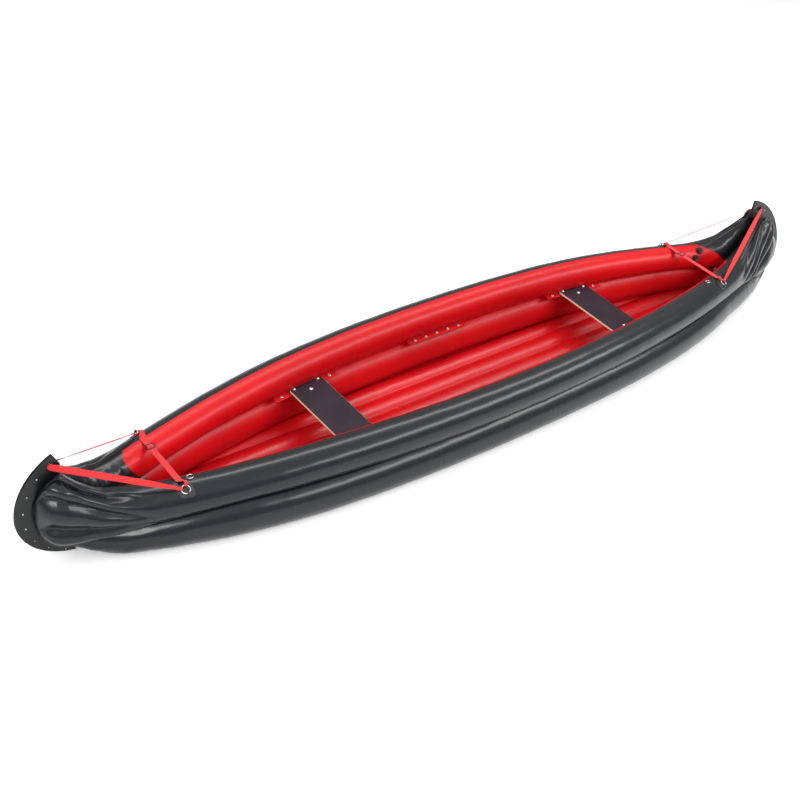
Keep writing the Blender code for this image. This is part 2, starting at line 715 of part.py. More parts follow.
def buckle(name, centre):
    """Ladder buckle: a flat frame whose middle bar the strap passes over."""
    wide, long = BUCKLE_BREADTH / 2, BUCKLE_LENGTH / 2
    edge = [(wide, long), (-wide, long), (-wide, -long), (wide, -long)]
    hole_wide = wide - BUCKLE_BAR
    loops = [edge]
    for side in (1, -1):
        near, far = side * BUCKLE_MIDDLE_BAR / 2, side * (long - BUCKLE_BAR)
        loops.append([(hole_wide, near), (-hole_wide, near), (-hole_wide, far), (hole_wide, far)])
    keep(name, plate_mesh(name, loops, BUCKLE_THICKNESS), "stem_plastic", Matrix.Translation(centre))


def tube_patch(side, end, station, lean, length, arc):
    """A glued patch that follows the upper tube's surface."""
    first, last = sorted((end * (station - length / 2), end * (station + length / 2)))
    xs = [first] + [x for x in STATIONS if first < x < last] + [last]
    leans = [math.radians(90 - lean + arc * (k / 6 - 0.5)) for k in range(7)]
    rings = []
    for x in xs:
        y, z, outer, inner, up, down, _ = between(UPPER, x)
        ring = []
        for lift, order in ((GAP, leans), (GAP + PATCH_THICKNESS, leans[::-1])):
            for a in order:
                wide = (outer if math.cos(a) > 0 else inner) + lift
                high = (up if math.sin(a) > 0 else down) + lift
                ring.append((x, side * (y + wide * math.cos(a)), z + high * math.sin(a)))
        rings.append(ring)
    return loft("patch", rings)


def report(name, point, axis):
    """Print where a moving piece turns, in the canoe's own frame."""
    place = [round(v, 5) for v in point - Vector((MIDDLE, 0, 0))]
    print(f"{name} turns about {place} along {[round(v, 5) for v in axis]}")


def axes_matrix(origin, x, y, z):
    """Placement whose local axes are x, y and z."""
    made = Matrix((x, y, z)).transposed().to_4x4()
    made.translation = origin
    return made


def ring_and_patch(names, side, end, place, sizes, slot="steel"):
    """A wire ring lying over a patch, held in the patch's keeper. Returns the keeper's centre and axis."""
    station, lean, lift, keeper_angle = place
    radius, wire, patch_length, patch_arc, keeper_length = sizes
    point, run, inboard, out = surface_frame(side, end, station, lean)
    a = math.radians(keeper_angle)
    towards = run * math.cos(a) + inboard * math.sin(a)
    tangent = out.cross(towards)
    centre = point + out * lift
    bore = wire + KEEPER_CLEARANCE
    hold = centre + towards * (radius + wire)
    patch = keep(names[1], tube_patch(side, end, station, lean, patch_length, patch_arc), "black_fabric")
    top = lift + bore + KEEPER_WALL
    foot = GAP + PATCH_THICKNESS / 2 - 0.0035
    block = box_mesh(
        "keeper",
        (2 * (bore + KEEPER_WALL), keeper_length, top - foot),
        axes_matrix(hold - out * lift + out * (top + foot) / 2, towards, tangent, out),
    )
    block_object = cutter(f"{names[1]}_keeper", block)
    sunk = cutter(f"{names[1]}_tube_side", tube_core(side, end, station, patch_length))
    boolean(block_object, sunk, "DIFFERENCE")
    boolean(patch, block_object, "UNION")
    bore_mesh = turned_mesh(
        "bore",
        [(0, keeper_length), (bore, keeper_length), (bore, -keeper_length), (0, -keeper_length)],
        (axes_matrix(hold, towards, out, -tangent),),
        10,
    )
    boolean(patch, cutter(f"{names[1]}_bore", bore_mesh), "DIFFERENCE")
    bpy.ops.mesh.primitive_torus_add(
        major_radius=radius + wire, minor_radius=wire, major_segments=20, minor_segments=6
    )
    torus = bpy.context.object
    mesh = torus.data
    bpy.data.objects.remove(torus)
    mesh.transform(Matrix.Translation((-(radius + wire), 0, 0)))
    keep(names[0], mesh, slot, axes_matrix(hold, towards, tangent, out), smooth=60)
    return hold, tangent


def tube_core(side, end, station, length):
    """The upper tube's own space beside a fitting, with the seam gap, to trim what stands on it."""
    first, last = sorted((end * (station - length), end * (station + length)))
    xs = [first] + [x for x in STATIONS if first < x < last] + [last]
    rings = []
    for x in xs:
        shape = between(UPPER, x)
        grown = shape[:2] + [r + GAP for r in shape[2:6]] + [shape[6]]
        rings.append(upper_ring(x, side, grown))
    return loft("tube_core", rings)


def rings():
    """Strap rings at four gunwale points, and a tie-on ring beside each on the starboard side."""
    strap_sizes = (RING_RADIUS, RING_WIRE, RING_PATCH_LENGTH, RING_PATCH_ARC, 0.010)
    tie_sizes = (TIE_RADIUS, TIE_WIRE, TIE_PATCH_LENGTH, TIE_PATCH_ARC, 0.008)
    for word, end in ENDS:
        for side_word, side in SIDES:
            names = (f"{word}_{side_word}_strap_ring", f"{word}_{side_word}_ring_patch")
            place = (STEMS[end].ring, RING_LEAN, RING_LIFT, RING_KEEPER_ANGLE)
            ring_and_patch(names, side, end, place, strap_sizes)
        names = (f"{word}_tie_ring", f"{word}_tie_patch")
        place = (STEMS[end].tie, TIE_LEAN, TIE_LIFT, TIE_KEEPER_ANGLE)
        hold, tangent = ring_and_patch(names, -1, end, place, tie_sizes)
        report(f"{word}_tie_ring", hold, tangent)


def inner_wall(table, x, z):
    """Inboard surface of a tube at x and height z."""
    y, centre, _, inner, up, down, _ = between(table, x)
    high = up if z > centre else down
    return y - inner * math.sqrt(max(0.0, 1 - ((z - centre) / high) ** 2))


def rail_height(x):
    """Mid-height of a rail's shelf, just above the groove between the tubes."""
    return between(UPPER, x)[6] + RAIL_RISE


def shelf_edge(x):
    """Outboard edge of a rail's shelf, against the flange glued to the upper tube."""
    z = rail_height(x) - RAIL_THICKNESS / 2
    return min(inner_wall(UPPER, x, z), inner_wall(UPPER, x, z + RAIL_THICKNESS)) - GAP


def eyelet_xs(centre):
    return [centre + (k - (EYELET_COUNT - 1) / 2) * EYELET_PITCH for k in range(EYELET_COUNT)]


def eyelet_y(x):
    return shelf_edge(x) - RAIL_WIDTH / 2


def rails():
    """Six eyeleted rails on the upper tubes' inner faces: under both seats and spare ones amidships."""
    for word, centre in (*SEAT_STATIONS.items(), ("middle", SPARE_RAIL_STATION)):
        for side_word, side in SIDES:
            first, last = centre - RAIL_LENGTH / 2, centre + RAIL_LENGTH / 2
            xs = [first] + [x for x in STATIONS if first < x < last] + [last]
            sections = []
            for x in xs:
                far, z = shelf_edge(x), rail_height(x)
                near, half = far - RAIL_WIDTH, RAIL_THICKNESS / 2
                rise = [z - half + FLANGE_HEIGHT * k / 4 for k in range(5)]
                back = [(inner_wall(UPPER, x, cz) - GAP, cz) for cz in rise]
                face = [(y - FLANGE_THICKNESS, cz) for y, cz in back[:0:-1] if cz > z + half]
                corner = (face[-1][0], z + half)
                outline = back + face + [corner, (near, z + half), (near, z - half)]
                sections.append([(x, side * y, cz) for y, cz in outline])
            rail = keep(f"{word}_{side_word}_rail", loft("rail", sections), "red_fabric")
            rim = [(0, RAIL_THICKNESS / 2 + EYELET_RISE), (EYELET_RIM, RAIL_THICKNESS / 2 + EYELET_RISE)]
            rim += [(EYELET_RIM, 0), (0, 0)]
            hole = [(0, 0.01), (EYELET_RADIUS, 0.01), (EYELET_RADIUS, -0.01), (0, -0.01)]
            places = [Matrix.Translation((x, side * eyelet_y(x), rail_height(x))) for x in eyelet_xs(centre)]
            boolean(rail, cutter(f"{rail.name}_rims", turned_mesh("rims", rim, places, 10)), "UNION")
            boolean(rail, cutter(f"{rail.name}_holes", turned_mesh("holes", hole, places, 10)), "DIFFERENCE")


def rounded(corners, radius, steps=4):
    """A polygon's outline with its corners rounded."""
    outline = []
    for k, corner in enumerate(corners):
        here = Vector(corner)
        back = (Vector(corners[k - 1]) - here).normalized()
        ahead = (Vector(corners[(k + 1) % len(corners)]) - here).normalized()
        half = math.acos(max(-1.0, min(1.0, back.dot(ahead)))) / 2
        run = radius / math.tan(half)
        centre = here + (back + ahead).normalized() * (radius / math.sin(half))
        first = here + back * run - centre
        last = here + ahead * run - centre
        turn = first.angle_signed(last)
        for s in range(steps + 1):
            a = -turn * s / steps
            outline.append(
                (
                    centre.x + first.x * math.cos(a) - first.y * math.sin(a),
                    centre.y + first.x * math.sin(a) + first.y * math.cos(a),
                )
            )
    return outline


def seats():
    """Two boards on the rails, each with a row of corner bolts and one inner bolt at each end."""
    for word, centre in SEAT_STATIONS.items():
        under = rail_height(centre) + RAIL_THICKNESS / 2 + EYELET_RISE
        rest = max(rail_height(x) for x in eyelet_xs(centre)) + RAIL_THICKNESS / 2 + EYELET_RISE + GAP
        top = rest + BOARD_THICKNESS
        ends = []
        for x in (centre - BOARD_WIDTH / 2, centre + BOARD_WIDTH / 2):
            ends.append((x, min(inner_wall(UPPER, x, z) for z in (rest, top)) - FLANGE_THICKNESS - 2 * GAP))
        corners = [ends[0], ends[1], (ends[1][0], -ends[1][1]), (ends[0][0], -ends[0][1])]
        bolts = []
        for x in (centre - EYELET_PITCH, centre + EYELET_PITCH):
            bolts.append((x, eyelet_y(x), "corner"))
        middle_end = (ends[0][1] + ends[1][1]) / 2
        bolts.append((centre, middle_end - INNER_BOLT_INSET, "inner"))
        spots = [(x, side * y) for x, y, _ in bolts for side in (1, -1)]
        holes = [circle(p, BOLT_RADIUS + GAP, 10) for p in spots]
        board = plate_mesh("board", [rounded(corners, BOARD_CORNER), *holes], BOARD_THICKNESS)
        place = Matrix.Translation((0, 0, rest + BOARD_THICKNESS / 2))
        keep(f"{word}_seat_board", board, "plywood", place)
        for side_word, side in SIDES:
            for k, (x, y, kind) in enumerate(bolts):
                bottom = under - EYELET_RISE - RAIL_THICKNESS if kind == "corner" else rest
                name = f"{word}_{side_word}_bolt_{k + 1}"
                bolt(name, Vector((x, side * y, 0)), top + GAP, bottom - GAP)


def bolt(name, place, head, nut):
    """Round-headed bolt with its nut, as one turned solid from the head down to the nut."""
    profile = [
        (0, head + BOLT_HEAD_HEIGHT),
        (BOLT_HEAD_RADIUS * 0.65, head + BOLT_HEAD_HEIGHT * 0.75),
        (BOLT_HEAD_RADIUS, head),
        (BOLT_RADIUS, head),
        (BOLT_RADIUS, nut),
        (NUT_RADIUS, nut),
        (NUT_RADIUS, nut - NUT_HEIGHT),
        (0, nut - NUT_HEIGHT),
    ]
    keep(name, turned_mesh(name, profile, steps=8), "steel", Matrix.Translation(place))


def valve(name, point, out, across, seat=GAP):
    """Valve body and its quarter-turn cap, on a frame whose z axis points out of the fabric."""
    place = axes_matrix(point + out * seat, across, out.cross(across), out)
    body = [
        (0, VALVE_HEIGHT + VALVE_NECK_HEIGHT),
        (VALVE_NECK_RADIUS, VALVE_HEIGHT + VALVE_NECK_HEIGHT),
        (VALVE_NECK_RADIUS, VALVE_HEIGHT),
        (VALVE_RADIUS - 0.001, VALVE_HEIGHT),
        (VALVE_RADIUS, VALVE_HEIGHT - 0.001),
        (VALVE_RADIUS, 0),
        (0, 0),
    ]
    keep(f"{name}_body", turned_mesh(name, body, steps=20), "valve_plastic", place, smooth=40)
    low = VALVE_HEIGHT + GAP
    recess = VALVE_HEIGHT + VALVE_NECK_HEIGHT + GAP
    cap = [
        (0, low + CAP_HEIGHT),
        (CAP_RADIUS - 0.001, low + CAP_HEIGHT),
        (CAP_RADIUS, low + CAP_HEIGHT - 0.001),
        (CAP_RADIUS, low),
        (VALVE_NECK_RADIUS + CAP_FIT, low),
        (VALVE_NECK_RADIUS + CAP_FIT, recess),
        (0, recess),
    ]
    made = keep(f"{name}_cap", turned_mesh(name, cap, steps=20), "valve_plastic", place, smooth=40)
    bar_size = (CAP_RADIUS * 1.5, CAP_BAR_WIDTH, CAP_BAR_HEIGHT * 2)
    bar = box_mesh("bar", bar_size, place @ Matrix.Translation((0, 0, low + CAP_HEIGHT)))
    boolean(made, cutter(f"{name}_bar", bar), "UNION")
    report(f"{name}_cap", point, out)


def valves():
    for name, side, station, lean, seat in (
        ("port_chamber_valve", 1, VALVE_STATION, VALVE_LEAN, VALVE_SEAT),
        ("port_relief_valve", 1, RELIEF_STATION, RELIEF_LEAN, GAP),
        ("starboard_chamber_valve", -1, VALVE_STATION, STARBOARD_VALVE_LEAN, VALVE_SEAT),
    ):
        point, run, inboard, out = surface_frame(side, 1, station, lean)
        valve(name, point, out, run, seat)
    place = Vector((FLOOR_VALVE_STATION, 0, FLOOR_TOP + floor_lift(FLOOR_VALVE_STATION)))
    valve("floor_valve", place, Vector((0, 0, 1)), Vector((1, 0, 0)), VALVE_SEAT)


def to_origin():
    """Bring the middle of the overall length over the origin."""
    for made in bpy.data.objects:
        made.matrix_world = Matrix.Translation((-MIDDLE, 0, 0)) @ made.matrix_world


def main():
    for found in list(bpy.data.objects):
        bpy.data.objects.remove(found)
    side_tubes()
    floor_chamber()
    stem_plates()
    diagonal_straps()
    cross_straps()
    rings()
    rails()
    seats()
    valves()
    to_origin()


main()
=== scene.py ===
"""The inflatable canoe as it looks: coated fabric tubes, ribbed floor, stem plates, webbing and seats.

Metres. The hull's lines are functions of x, the distance from the midship section, as in the part's own
source; finished points are brought over the origin of the frame at the end.
"""

import math
from collections import namedtuple

import bpy
import numpy as np
from mathutils import Matrix


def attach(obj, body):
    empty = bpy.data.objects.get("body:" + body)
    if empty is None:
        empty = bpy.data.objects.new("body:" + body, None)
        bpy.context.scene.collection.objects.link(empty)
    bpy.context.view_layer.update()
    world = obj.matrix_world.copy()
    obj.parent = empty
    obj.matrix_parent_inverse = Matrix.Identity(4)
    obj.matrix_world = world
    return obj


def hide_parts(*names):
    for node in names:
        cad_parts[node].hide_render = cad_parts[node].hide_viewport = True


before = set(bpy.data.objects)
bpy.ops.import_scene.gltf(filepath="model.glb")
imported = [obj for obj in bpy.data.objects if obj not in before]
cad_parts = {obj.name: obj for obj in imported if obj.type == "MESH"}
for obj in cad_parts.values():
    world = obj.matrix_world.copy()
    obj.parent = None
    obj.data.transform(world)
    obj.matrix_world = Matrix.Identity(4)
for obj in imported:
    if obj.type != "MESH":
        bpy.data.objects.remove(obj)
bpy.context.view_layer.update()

# Hull lines
PLAN_LENGTH = 2.185
UPPER_SPREAD = 0.343
LOWER_SPREAD = 0.333
UPPER_RADIUS = 0.083
LOWER_RADIUS = 0.099
GUNWALE_HEIGHT = 0.335
ROCKER = 0.016
UPPER_PLAN = (-0.766, -0.491, 0.189)
LOWER_PLAN = (-0.430, -0.907, 0.194)
GUNWALE_SAG = (0.096, -1.067, 1.041)
GROOVE_START = 0.640
GROOVE_DROP = {1: 0.186, -1: 0.116}
GROOVE_POWER = {1: 2.1, -1: 1.5}
LOWER_ROUNDING = {1: 0.92, -1: 0.86}
LOWER_END = {1: 0.995, -1: 0.968}
LOWER_TAPER = {1: 3.0, -1: 2.0}
LOWER_CLOSING = 0.985
LOWER_DRAW_IN = 0.4
LOWER_RIDGE = 0.012
FULLNESS_START = 0.72
FULLNESS_POWER = 1.3
NOSE_HALF_BREADTH = 0.112
NOSE_RIDGE = 0.042
NOSE_CUT = 0.94
NOSE_CUT_START = 0.96
THINNEST = 0.0005
LAST_STATION = 0.9985
COARSE_COUNT = 20
COARSE_END = 0.950

# Widths over which two lines of the hull run into each other
SEAM_CORNER = 0.030
BREADTH_CORNER = 0.010
SHEER_CORNER = 0.006
RIDGE_CORNER = 0.004

# Stems
Stem = namedtuple(
    "Stem",
    "centre_x centre_z reach rise depth power top_angle slot_angle foot_angle "
    "sheer_start sheer_lift sheer_power fullness ring tie",
)
STEMS = {
    1: Stem(1.960, 0.135, 2.360, 0.452, 0.130, 1.6, 86, 70, -72, 0.66, 0.73, 3.8, 0.115, 1.548, 1.455),
    -1: Stem(1.950, 0.262, 2.240, 0.290, 0.257, 2.0, 62, 54, -76, 0.82, 0.28, 2.8, 0.010, 1.655, 1.612),
}
ENDS = (("bow", 1), ("stern", -1))
SIDES = (("port", 1), ("starboard", -1))
MIDDLE = (STEMS[1].reach - STEMS[-1].reach) / 2
STEM_PLATE_WIDTH = 0.062
NOSE_CLEARANCE = 0.0045
STEM_FOOT_WIDTH = 0.014
STEM_TAPER_ANGLE = -15.0
CHEEK_THICKNESS = 0.004
CORE_THICKNESS = 0.003
RIVET_COUNT = 8
GAP = 0.0003
STEM_SEAM = CORE_THICKNESS / 2 + GAP
CHEEK_FACE = STEM_SEAM + CHEEK_THICKNESS

# Webbing, buckles and rings
STRAP_WIDTH = 0.026
STRAP_THICKNESS = 0.002
STRAP_END_WIDTH = 0.012
STRAP_TUCK = 0.016
STRAP_LOOP_RADIUS = 0.0042
STRAP_STEP = 0.0016
STRAP_CLEARANCE = 0.0012
STRAP_MOUTH = 0.006
BUCKLE_OFFSET = 0.085
BUCKLE_LENGTH = 0.032
BUCKLE_BREADTH = 0.038
BUCKLE_BAR = 0.004
BUCKLE_MIDDLE_BAR = 0.006
BUCKLE_THICKNESS = 0.003
BUCKLE_SQUARENESS = 0.28
PATCH_THICKNESS = 0.0018
PATCH_OVAL = 0.28
PATCH_ROOT = 0.002
GLUE = 0.0002
KEEPER_CLEARANCE = 0.0013
KEEPER_WALL = 0.0016
RingPlace = namedtuple("RingPlace", "lean lift keeper_angle radius wire patch_length patch_arc keeper_length")
STRAP_RING = RingPlace(30.0, 0.0105, 245.0, 0.015, 0.0020, 0.064, 44.0, 0.010)
TIE_RING = RingPlace(-8.0, 0.0055, 180.0, 0.011, 0.0016, 0.036, 22.0, 0.008)

# Seats and rails
SEAT_STATIONS = {"bow": 0.847, "stern": -0.832}
SPARE_RAIL_STATION = -0.045
BOARD_WIDTH = 0.180
BOARD_THICKNESS = 0.010
BOARD_CORNER = 0.014
RAIL_THICKNESS = 0.004
RAIL_RISE = 0.020
RAIL_WIDTH = 0.036
FLANGE_THICKNESS = 0.0025
EYELET_PITCH = 0.068
EYELET_COUNT = 5
EYELET_RADIUS = 0.0042
EYELET_RIM = 0.0080
EYELET_RISE = 0.0012
BOLT_RADIUS = 0.0030
INNER_BOLT_INSET = 0.050

# Floor
FLOOR_ENDS = (-1.875, 2.060)
FLOOR_FLAT = 1.200
FLOOR_BOTTOM = 0.004
FLOOR_TOP = 0.050
FLOOR_RIB_PITCH = 0.100
FLOOR_RIBS = 5
FLOOR_RIB_HEIGHT = 0.020
FLOOR_SEAM = 0.0008
FLOOR_TUCK = 0.85
FLOOR_ROWS = 340
FLOOR_COLUMNS = 240
FLOOR_UNDER_COLUMNS = 24
FLOOR_RIB_ROUNDING = 0.010
FLOOR_RIB_POWER = 0.33
FLOOR_ROUND = 0.030
FLOOR_END_ROUND = 0.035
FLOOR_LEAST = 0.012
FLOOR_BORDER = 0.090

# Valves
VALVES = (
    ("port_chamber_valve", 1, 1.710, -36.0, 0.0009),
    ("port_relief_valve", 1, 1.671, -63.0, 0.0003),
    ("starboard_chamber_valve", -1, 1.710, -76.0, 0.0009),
)
FLOOR_VALVE_STATION = 1.500


def smooth_max(a, b, width):
    """Larger of a and b with the corner rounded over width."""
    return 0.5 * (a + b + np.sqrt((a - b) ** 2 + width**2))


def smooth_min(a, b, width):
    """Smaller of a and b with the corner rounded over width."""
    return -smooth_max(-a, -b, width)


def share(n, start, end=1.0):
    """How far n lies between start and end, from 0 to 1."""
    return np.clip((n - start) / (end - start), 0.0, 1.0)


def ease(n):
    """Smooth step from 0 to 1: 3n^2 - 2n^3."""
    return n * n * (3 - 2 * n)


def plan(n, spread, terms):
    """spread (1 + a n^2 + b n^4 + c n^6)."""
    return spread * (1 + sum(c * n ** (2 * k + 2) for k, c in enumerate(terms)))


def by_end(x, values):
    """values[1] towards the bow and values[-1] towards the stern."""
    return np.where(x > 0, values[1], values[-1])


def stem_value(x, field):
    """That value of the stem at x's end of the hull."""
    return by_end(x, {end: getattr(stem, field) for end, stem in STEMS.items()})


def stem_points(stem, angle, inset, foot_inset):
    """Superellipse of the stem plate at angle, drawn in by inset and, towards its foot, by foot_inset."""
    a = np.radians(angle)
    taper = share(-angle, -STEM_TAPER_ANGLE, -stem.foot_angle)
    width = inset + (foot_inset - inset) * taper
    power = np.where(angle > 0, stem.power, 2.0)
    height = np.where(angle > 0, stem.rise, stem.depth) - width
    x = stem.centre_x + (stem.reach - stem.centre_x - width) * np.abs(np.cos(a)) ** (2 / power)
    z = stem.centre_z + np.sign(angle) * height * np.abs(np.sin(a)) ** (2 / power)
    return x, z


def stem_run(stem, first, last, inset, foot_inset, count):
    """count points along the plate from the angle first to last, evenly spaced along their arc."""
    x, z = stem_points(stem, np.linspace(first, last, 400), inset, foot_inset)
    run = run_along(np.stack([x, z], -1))
    want = np.linspace(0, run[-1], count)
    return np.interp(want, run, x), np.interp(want, run, z)


# Sections: the two tubes of a side meet on a seam
UPPER_CENTRE_Z = GUNWALE_HEIGHT - UPPER_RADIUS
CENTRE_SPACING = UPPER_CENTRE_Z - LOWER_RADIUS
GROOVE_DISTANCE = (CENTRE_SPACING**2 + UPPER_RADIUS**2 - LOWER_RADIUS**2) / (2 * CENTRE_SPACING)
GROOVE_HEIGHT = UPPER_CENTRE_Z - GROOVE_DISTANCE
UPPER_CUT = GROOVE_DISTANCE / UPPER_RADIUS
LOWER_CUT = (GROOVE_HEIGHT - LOWER_RADIUS) / LOWER_RADIUS


def nose(x):
    """Distance from midships of the fabric's tip at x's end."""
    return stem_value(x, "reach") - STEM_PLATE_WIDTH - NOSE_CLEARANCE


def groove_height(x):
    """Groove height: level amidships, rising with the rocker and dropping towards the noses."""
    drop = by_end(x, GROOVE_DROP) * share(np.abs(x) / nose(x), GROOVE_START) ** by_end(x, GROOVE_POWER)
    return GROOVE_HEIGHT + ROCKER * (np.abs(x) / PLAN_LENGTH) ** 4 / 2 - drop


def nose_heights(x):
    """Upper and lower height of the fabric nose at x, read off the stem plate's inner edge."""
    inset, foot = STEM_PLATE_WIDTH + NOSE_CLEARANCE, STEM_FOOT_WIDTH + NOSE_CLEARANCE
    found = []
    for start in (90, -90):
        at_end = {}
        for end, stem in STEMS.items():
            edge_x, edge_z = stem_points(stem, np.linspace(start, 0.01 * np.sign(start), 500), inset, foot)
            at_end[end] = np.interp(np.abs(x), edge_x, edge_z)
        found.append(by_end(x, at_end))
    return found


def upper_section(x):
    """Upper tube at x: centre y and z, outboard, inboard, upward and downward radii, and seam height."""
    n, way = np.abs(x) / PLAN_LENGTH, np.abs(x) / nose(x)
    raised = share(way, stem_value(x, "sheer_start"))
    close = np.sqrt(np.maximum(0, 1 - share(np.abs(x), stem_value(x, "centre_x"), nose(x)) ** 2))
    highest, lowest = nose_heights(x)
    centre = plan(n, UPPER_SPREAD, UPPER_PLAN)
    level = plan(n, GUNWALE_HEIGHT, GUNWALE_SAG)
    gunwale = level + stem_value(x, "sheer_lift") * raised ** stem_value(x, "sheer_power")
    top = smooth_min(gunwale, highest, SHEER_CORNER)
    seam = smooth_max(groove_height(x), lowest, SEAM_CORNER)
    middle = level - UPPER_RADIUS + (stem_value(x, "centre_z") - level + UPPER_RADIUS) * raised**2
    y = smooth_max(centre, NOSE_RIDGE, RIDGE_CORNER) * close
    outer = smooth_max(centre + UPPER_RADIUS, NOSE_HALF_BREADTH, BREADTH_CORNER) * close
    inner = np.maximum(smooth_min(UPPER_RADIUS, y - STEM_SEAM, RIDGE_CORNER), THINNEST)
    cut = UPPER_CUT + (NOSE_CUT - UPPER_CUT) * share(way, NOSE_CUT_START)
    return np.array([y, middle, outer - y, inner, top - middle, (middle - seam) / cut, seam])


def lower_section(x):
    """Lower tube at x: centre y and z, outboard, inboard, upward and downward radii, and seam height.

    Its keel rises to the seam as a power of t beyond LOWER_ROUNDING, so that it tapers to a point.
    """
    n, way = np.abs(x) / PLAN_LENGTH, np.abs(x) / nose(x)
    t = share(way, by_end(x, LOWER_ROUNDING), by_end(x, LOWER_END))
    seam = smooth_max(groove_height(x), nose_heights(x)[1], SEAM_CORNER)
    keel = ROCKER * n**4
    keel = keel + (seam - keel) * LOWER_CLOSING * t ** by_end(x, LOWER_TAPER)
    radius = (seam - keel) / (1 + LOWER_CUT)
    full = stem_value(x, "fullness") * share(way, FULLNESS_START) ** FULLNESS_POWER
    centre = (plan(n, LOWER_SPREAD, LOWER_PLAN) + full) * (1 - LOWER_DRAW_IN * t**2)
    centre = smooth_max(centre, CHEEK_FACE + LOWER_RIDGE, BREADTH_CORNER)
    inner = smooth_min(radius, centre - CHEEK_FACE - GAP, RIDGE_CORNER)
    return np.array([centre, keel + radius, radius, inner, radius, radius, seam])


def coarse_stations():
    """The solid model's own stations, between which its fittings are placed on straight lines."""
    ns = np.append(np.sin(np.pi / 2 * np.arange(COARSE_COUNT) / COARSE_COUNT), LAST_STATION)
    ns[1 + np.argmin(np.abs(ns[1:] - COARSE_END))] = COARSE_END
    noses = nose(np.array([-1.0, 1.0]))
    return np.concatenate([-ns[:0:-1] * noses[0], ns * noses[1]])


STATIONS = coarse_stations()
UPPER_TABLE = upper_section(STATIONS)


def upper_at(x):
    """Upper section at x on the straight lines between the coarse stations."""
    return [float(np.interp(x, STATIONS, column)) for column in UPPER_TABLE]


# Meshes
OFF_AXIS = (0.31, 0.17, 0.93)


def added(name, data):
    """A new object of that data, linked into the scene."""
    made = bpy.data.objects.new(name, data)
    bpy.context.scene.collection.objects.link(made)
    return made


def surface(name, points, looped=False, smooth=50.0, **marks):
    """Mesh of a grid points[u, v, xyz], closed in v.

    Its last row is joined to its first where it is looped, and otherwise a fan round the row's mean point
    closes each end. marks are numbers for each grid point, kept as attributes of that name.
    """
    rows, columns = points.shape[:2]
    index = np.arange(rows * columns).reshape(rows, columns)
    near, far = (index, np.roll(index, -1, 0)) if looped else (index[:-1], index[1:])
    faces = np.stack([near, np.roll(near, -1, 1), np.roll(far, -1, 1), far], -1).reshape(-1, 4).tolist()
    verts = points.reshape(-1, 3)
    for ring in () if looped else (index[0], index[-1, ::-1]):
        tip = np.full(columns, len(verts))
        faces += np.stack([tip, np.roll(ring, -1), ring], -1).tolist()
        verts = np.vstack([verts, verts[ring].mean(0)])
    mesh = bpy.data.meshes.new(name)
    mesh.from_pydata((verts - np.array([MIDDLE, 0, 0])).tolist(), [], faces)
    for mark, values in marks.items():
        grid = np.broadcast_to(values, (rows, columns))
        tips = [] if looped else [grid[0].mean(), grid[-1].mean()]
        layer = mesh.attributes.new(mark, "FLOAT", "POINT")
        layer.data.foreach_set("value", np.concatenate([grid.ravel(), tips]).astype(np.float32))
    made = added(name, mesh)
    outwards(mesh)
    mesh.shade_smooth()
    mesh.set_sharp_from_angle(angle=math.radians(smooth))
    return made


def outwards(mesh):
    """Turn every face if the mesh's signed volume is negative."""
    mesh.calc_loop_triangles()
    corners = np.empty(len(mesh.loop_triangles) * 3, np.int32)
    mesh.loop_triangles.foreach_get("vertices", corners)
    spots = np.empty(len(mesh.vertices) * 3)
    mesh.vertices.foreach_get("co", spots)
    a, b, c = (spots.reshape(-1, 3)[corners[k::3]] for k in range(3))
    if np.einsum("ij,ij->", a, np.cross(b, c)) < 0:
        mesh.flip_normals()


def joined(name, pieces):
    """One object of several pieces' meshes."""
    bpy.ops.object.select_all(action="DESELECT")
    for piece in pieces:
        piece.select_set(True)
    bpy.context.view_layer.objects.active = pieces[0]
    bpy.ops.object.join()
    pieces[0].name = name
    return pieces[0]


def dress(piece, finish, slot, *nodes, body="hull"):
    """Give the piece its material, hang it under its body's empty and hide the solids it stands for; slot is
    not used.
    """
    piece.data.materials.clear()
    piece.data.materials.append(finish)
    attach(piece, body)
    if nodes:
        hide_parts(*nodes)
    return piece


def grid_normals(points, centre):
    """Unit normals of a grid of points, facing away from centre."""
    normal = np.cross(np.gradient(points, axis=0), np.gradient(points, axis=1))
    normal /= np.maximum(np.linalg.norm(normal, axis=-1, keepdims=True), 1e-12)
    return normal * np.sign(np.sum(normal * (points - centre), axis=-1, keepdims=True))


def unit(v):
    """v at length 1."""
    v = np.asarray(v, float)
    return v / np.linalg.norm(v)


def carried(name, centres, across, profile, looped=False):
    """A closed profile carried along a path.

    Each ring is centre + across * profile_u + normal * profile_v, where the normal is square to the path
    and to across. profile is [point, 2], or [station, point, 2] where it changes along the path.
    """
    centres, across = np.asarray(centres, float), np.asarray(across, float)
    if looped:
        tangent = np.roll(centres, -1, 0) - np.roll(centres, 1, 0)
    else:
        tangent = np.gradient(centres, axis=0)
    tangent /= np.linalg.norm(tangent, axis=1, keepdims=True)
    across = across - tangent * np.sum(across * tangent, axis=1, keepdims=True)
    across /= np.linalg.norm(across, axis=1, keepdims=True)
    normal = np.cross(tangent, across)
    profile = np.broadcast_to(profile, (len(centres), *np.shape(profile)[-2:]))
    points = centres[:, None] + across[:, None] * profile[..., :1] + normal[:, None] * profile[..., 1:]
    return surface(name, points, looped, run=run_along(centres)[:, None], side=profile[..., 0])


def run_along(points):
    """Length of the path from its first point to each point."""
    return np.concatenate([[0], np.cumsum(np.linalg.norm(np.diff(points, axis=0), axis=1))])


def oval(wide, high, count):
    """Ellipse (wide cos a, high sin a)."""
    turn = np.linspace(0, 2 * np.pi, count, endpoint=False)
    return np.stack([wide * np.cos(turn), high * np.sin(turn)], -1)


